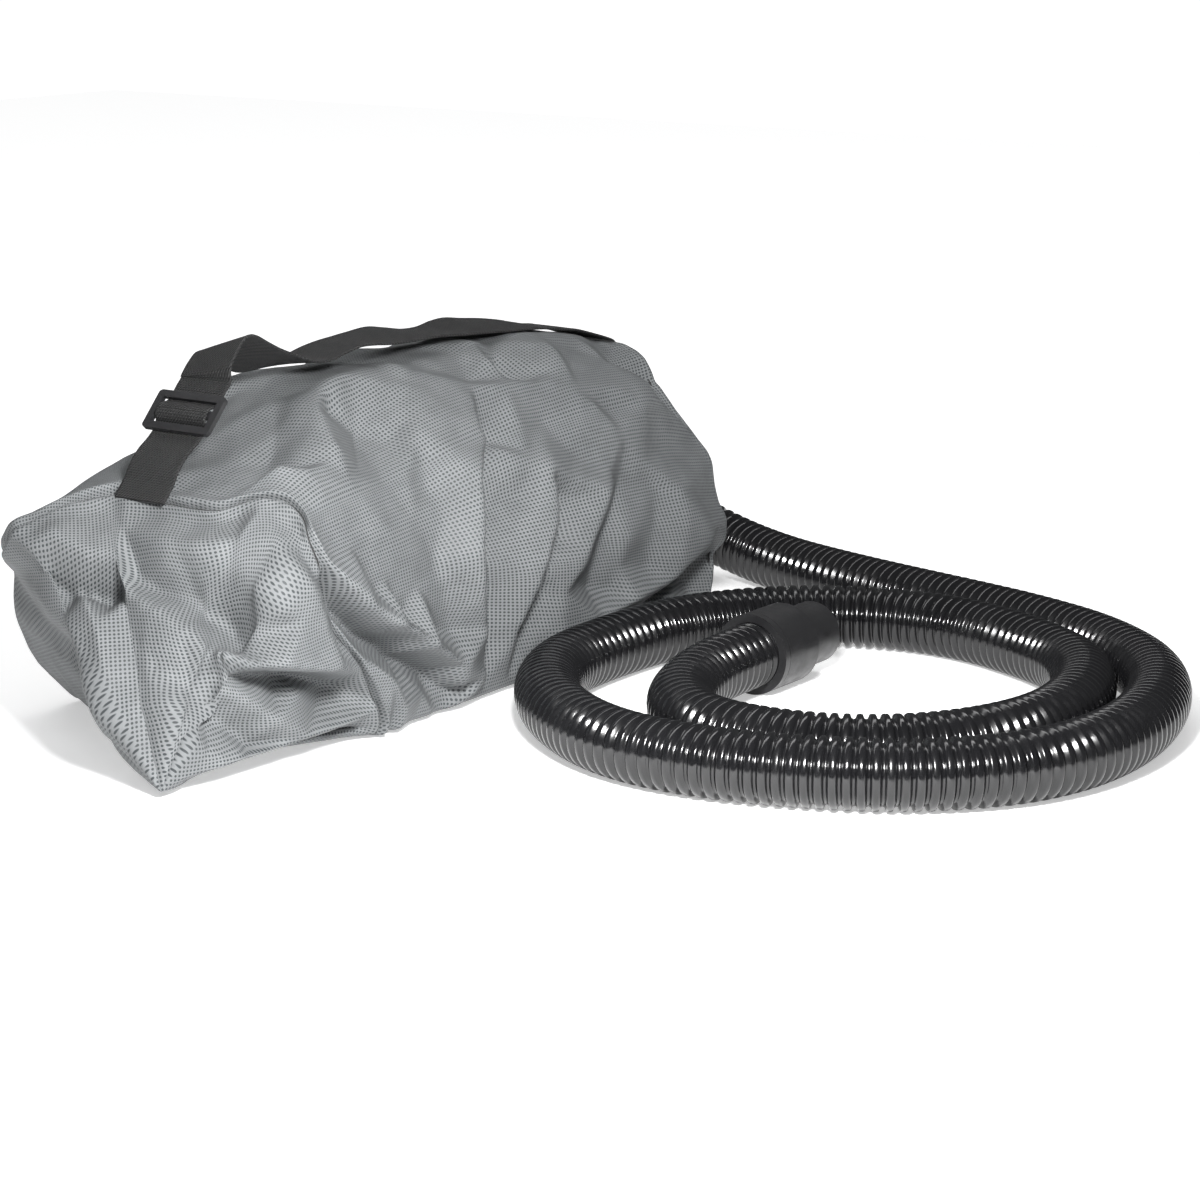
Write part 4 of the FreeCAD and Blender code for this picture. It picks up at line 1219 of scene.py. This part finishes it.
def bent_bar(name, path, radius, sides=5):
    """A round bar along a short path of points."""
    p = np.array(path)
    way = np.gradient(p, axis=0)
    way /= np.linalg.norm(way, axis=1)[:, None]
    loops = []
    for point, ahead in zip(p, way):
        first = np.cross(ahead, (1.0, 0.0, 0.02))
        first /= np.linalg.norm(first)
        second = np.cross(ahead, first)
        for a in full_turn(sides):
            loops.append(point + radius * (math.cos(a) * first + math.sin(a) * second))
    piece = mesh_piece(name, loops, bar_faces(len(p), sides))
    face_outward(piece)
    return piece


def coil_side(name, way, offset):
    """One tape's loops; way is +1 for the upper tape and -1 for the lower."""
    base_y, out_y, edge = zip_low.y + 0.0004, zip_high.y - 0.0005, zip_low.z
    path = [(0, base_y, edge + way * 0.0022), (0.0001, (base_y + out_y) / 2, edge + way * 0.0023),
            (0.0002, out_y, edge + way * 0.0016), (0.00035, out_y, edge - way * 0.0004),
            (0.0004, (base_y + out_y) / 2, edge - way * 0.0008), (0.0003, base_y, edge - way * 0.0002)]
    shape = bent_bar(name, path, COIL_WIRE)
    count = int((zip_high.x - zip_low.x - 0.003) / COIL_PITCH)
    return set_out(shape, LINE_TREE, LINE_NAMES, "bag", "zip_coil", Start=(zip_low.x + 0.0012 + offset, 0, 0),
                   Step=(COIL_PITCH, 0, 0), Count=count, Finish=COIL_NYLON)


for side_name, way, offset in (("zip_coil_upper", 1, 0.0), ("zip_coil_lower", -1, COIL_PITCH / 2)):
    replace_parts(coil_side(side_name + "_loops", way, offset), side_name)
print("coil loops", int((zip_high.x - zip_low.x) / COIL_PITCH), "on each tape")

# %% [markdown]
# Lockstitch: short grey threads, a little slack, along both zip tapes.

# %% Stitches
STITCH_LENGTH, STITCH_GAP, THREAD_RADIUS = 0.0028, 0.0012, 0.00028


def stitch_row(name, start, way, normal, length):
    """A straight row of stitches from start."""
    a, n = Vector(way).normalized(), Vector(normal).normalized()
    arc = [(0.0, -0.0003), (0.15, 0.00025), (0.5, 0.00038), (0.85, 0.00025), (1.0, -0.0003)]
    path = np.array([tuple(a * (t * STITCH_LENGTH) + n * h) for t, h in arc])
    sides = 5
    side = np.array(a.cross(n))
    loops = []
    for point in path:
        for turn_at in full_turn(sides):
            loops.append(point + THREAD_RADIUS * (math.cos(turn_at) * side + math.sin(turn_at) * np.array(n)))
    shape = mesh_piece(name, loops, bar_faces(len(path), sides))
    face_outward(shape)
    step = a * (STITCH_LENGTH + STITCH_GAP)
    return set_out(shape, LINE_TREE, LINE_NAMES, "bag", "zip_tape", Start=tuple(start), Step=tuple(step),
                   Count=int(length / step.length), Finish=THREAD)


tape_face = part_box("zip_tape_upper")[1].y
for number, height in enumerate((0.0895, 0.0705)):
    stitch_row("zip_stitches_%d" % number, (-0.0435, tape_face, height), (1, 0, 0), (0, 1, 0), 0.294)
print("stitch rows on the tapes at y = %.4f" % tape_face)

# %% [markdown]
# The end panels are sewn in, and a near-black cord lies in the groove between the panels: it is partly the
# binding thread and partly painted shade that darkens the groove.
# It follows the seam's row of the folded shell, on the visible parts only.

# %% Seam cords: thread and painted shade
SEAM_SHADE_CORD_RADIUS = 0.0007


def seam_thread_and_shade_cord(name, row):
    places = coordinates(bag)[row * ROUND:(row + 1) * ROUND - FLOOR_COUNT]
    normals = vertex_normals(bag)[row * ROUND:(row + 1) * ROUND - FLOOR_COUNT]
    piece = bent_bar(name, places + normals * 0.0002, SEAM_SHADE_CORD_RADIUS, 6)
    # near-black rubber finish: the cord is partly the seam's thread and partly painted shade in the groove
    piece.data.materials.append(SEAL_RUBBER)
    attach(piece, "bag")


for seam_name, row in (("seam_shade_cord_near", SEAM_ROW), ("seam_shade_cord_far", FAR_ROW)):
    seam_thread_and_shade_cord(seam_name, row)
print("seam threads", SEAM_SHADE_CORD_RADIUS)

# %% [markdown]
# Four pan-head screws hold the port's flange. A head is a low dome with a cross recess.

# %% Port screws
screw_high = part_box("port_screws")[1]
SCREW_CIRCLE, HEAD_RADIUS, HEAD_TALL = 0.032, 0.0028, 0.0016
SHANK_RADIUS, SHANK_LONG, RECESS_DEEP = 0.0015, 0.0088, 0.0009


def screw_shape():
    """A screw along -X with its head's underside at x = 0."""
    profile = [(0.0, 0.0), (HEAD_RADIUS, 0.0), (HEAD_RADIUS, 0.0007), (HEAD_RADIUS * 0.86, 0.0012),
               (HEAD_RADIUS * 0.5, HEAD_TALL), (HEAD_RADIUS * 0.36, HEAD_TALL)]
    sides = 24
    loops = []
    for radius, height in profile[1:]:
        for a in full_turn(sides):
            loops.append((height, radius * math.cos(a), radius * math.sin(a)))
    bars = len(profile) - 1
    # the recess: a cross whose arms keep the rim's radius and whose corners come in
    for level, depth in ((0, HEAD_TALL), (1, HEAD_TALL - RECESS_DEEP)):
        for i, a in enumerate(full_turn(sides)):
            reach = HEAD_RADIUS * (0.34 if i % 6 in (0, 1, 5) else 0.14) * (1 - 0.25 * level)
            loops.append((depth, reach * math.cos(a), reach * math.sin(a)))
    shank = len(loops)
    for x_place in (0.0, -SHANK_LONG):
        for a in full_turn(sides):
            loops.append((x_place, SHANK_RADIUS * math.cos(a), SHANK_RADIUS * math.sin(a)))
    quads = []
    for i in range(bars + 1):
        for j in range(sides):
            n = (j + 1) % sides
            quads.append((i * sides + j, i * sides + n, (i + 1) * sides + n, (i + 1) * sides + j))
    quads.append(tuple((bars + 1) * sides + j for j in range(sides)))
    for j in range(sides):
        n = (j + 1) % sides
        quads.append((j, shank + j, shank + n, n))
        quads.append((shank + j, shank + sides + j, shank + sides + n, shank + n))
    quads.append(tuple(shank + sides + j for j in range(sides)))
    piece = mesh_piece("port_screws_panhead", loops, quads, smooth=False)
    face_outward(piece)
    return piece


screws = set_out(screw_shape(), RING_TREE, RING_NAMES, "bag", "screw_steel",
                 Centre=(screw_high.x - HEAD_TALL, PORT_ACROSS, PORT_UP), Radius=SCREW_CIRCLE,
                 First=0.0, Count=4, Finish=STEEL)
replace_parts(screws, "port_screws")
print("screws at x = %.4f" % (screw_high.x - HEAD_TALL))

# %% [markdown]
# ## Finishes of the CAD pieces
#
# The moulded, metal and rubber pieces keep their CAD shape and get their own finish.

# %% Finishes on CAD pieces
NODE_FINISHES = {
    "port_flange": CUFF_PLASTIC, "port_gasket": SEAL_RUBBER, "port_clamp_ring": CUFF_PLASTIC,
    "port_bush": CUFF_PLASTIC, "port_snap_ring": ZIP_METAL, "port_cuff": CUFF_PLASTIC,
    "tool_bush": CUFF_PLASTIC, "tool_snap_ring": ZIP_METAL, "tool_cuff": CUFF_PLASTIC,
    "strap_buckle": BUCKLE_PLASTIC,
    "zip_tape_upper": ZIP_TAPE, "zip_tape_lower": ZIP_TAPE,
    "zip_slider": ZIP_METAL, "zip_pull": ZIP_METAL, "zip_stops": ZIP_METAL,
}
for name, finish in NODE_FINISHES.items():
    node = nodes[name]
    node.data.materials.clear()
    node.data.materials.append(finish)
print("CAD pieces finished", len(NODE_FINISHES))

# %% [markdown]
# ## Floor and light
#
# A plain white lit table and soft lamps. A wide soft lamp overhead draws the long highlight along the hose.
# The key lamp stands close to the near end, a little in front, so that the bag darkens towards its far end.


# %% Floor
FLOOR_SIZE = 3.6
FLOOR_GLOW = 0.45      # a lit table: white even where the lamps do not reach
floor_mesh = bpy.data.meshes.new("floor")
floor_mesh.from_pydata([(-FLOOR_SIZE, -FLOOR_SIZE, 0), (FLOOR_SIZE, -FLOOR_SIZE, 0),
                        (FLOOR_SIZE, FLOOR_SIZE, 0), (-FLOOR_SIZE, FLOOR_SIZE, 0)], [], [(0, 1, 2, 3)])
floor = bpy.data.objects.new("floor", floor_mesh)
scene.collection.objects.link(floor)
floor_finish, floor_tree, floor_shader = finish_start("floor_white", 1.0, (0.93, 0.93, 0.93, 1), specular=0.0)
floor_shader.inputs["IOR"].default_value = 1.0
floor_shader.inputs["Emission Color"].default_value = (1, 1, 1, 1)
reach = floor_tree.nodes.new("ShaderNodeVectorMath")
reach.operation = "LENGTH"
floor_tree.links.new(mapped(floor_tree), reach.inputs[0])
glow = step_up(floor_tree, reach.outputs["Value"], 0.3, 1.6, FLOOR_GLOW, 0.7)
floor_tree.links.new(glow, floor_shader.inputs["Emission Strength"])
floor.data.materials.append(floor_finish)

# %% [markdown]
# The world is dim, so that shade stays dark, and looks white only behind the object. The wide wash from
# above lights the table and is hidden from the gloss of the hose.

# %% Lights
world = bpy.data.worlds.new("studio")
scene.world = world
world.use_nodes = True
background = world.node_tree.nodes["Background"]
background.inputs["Color"].default_value = (0.97, 0.985, 1, 1)
background.inputs["Strength"].default_value = 0.10
backdrop = add(world.node_tree, "ShaderNodeBackground", Color=(1, 1, 1, 1), Strength=1.05)
seen = world.node_tree.nodes.new("ShaderNodeLightPath")
mixed = world.node_tree.nodes.new("ShaderNodeMixShader")
world.node_tree.links.new(seen.outputs["Is Camera Ray"], mixed.inputs[0])
world.node_tree.links.new(background.outputs[0], mixed.inputs[1])
world.node_tree.links.new(backdrop.outputs[0], mixed.inputs[2])
world.node_tree.links.new(mixed.outputs[0], world.node_tree.nodes["World Output"].inputs["Surface"])
scene.view_settings.view_transform = "Standard"


def soft_lamp(name, place, target, wide, tall, power):
    data = bpy.data.lights.new(name, "AREA")
    data.shape = "RECTANGLE"
    data.size = wide
    data.size_y = tall
    data.energy = power
    lamp = bpy.data.objects.new(name, data)
    lamp.location = place
    lamp.rotation_euler = (Vector(target) - Vector(place)).to_track_quat("-Z", "Y").to_euler()
    scene.collection.objects.link(lamp)
    return lamp


soft_lamp("key", (-0.52, -0.60, 0.48), (-0.15, -0.08, 0.08), 0.13, 0.13, 14)
soft_lamp("overhead", (0.5, 0.5, 1.9), (0.05, -0.2, 0), 2.4, 0.5, 14)
wash = soft_lamp("floor_wash", (0.2, 0.2, 8.0), (0.2, 0.2, 0), 16.0, 16.0, 330)
wash.visible_glossy = False
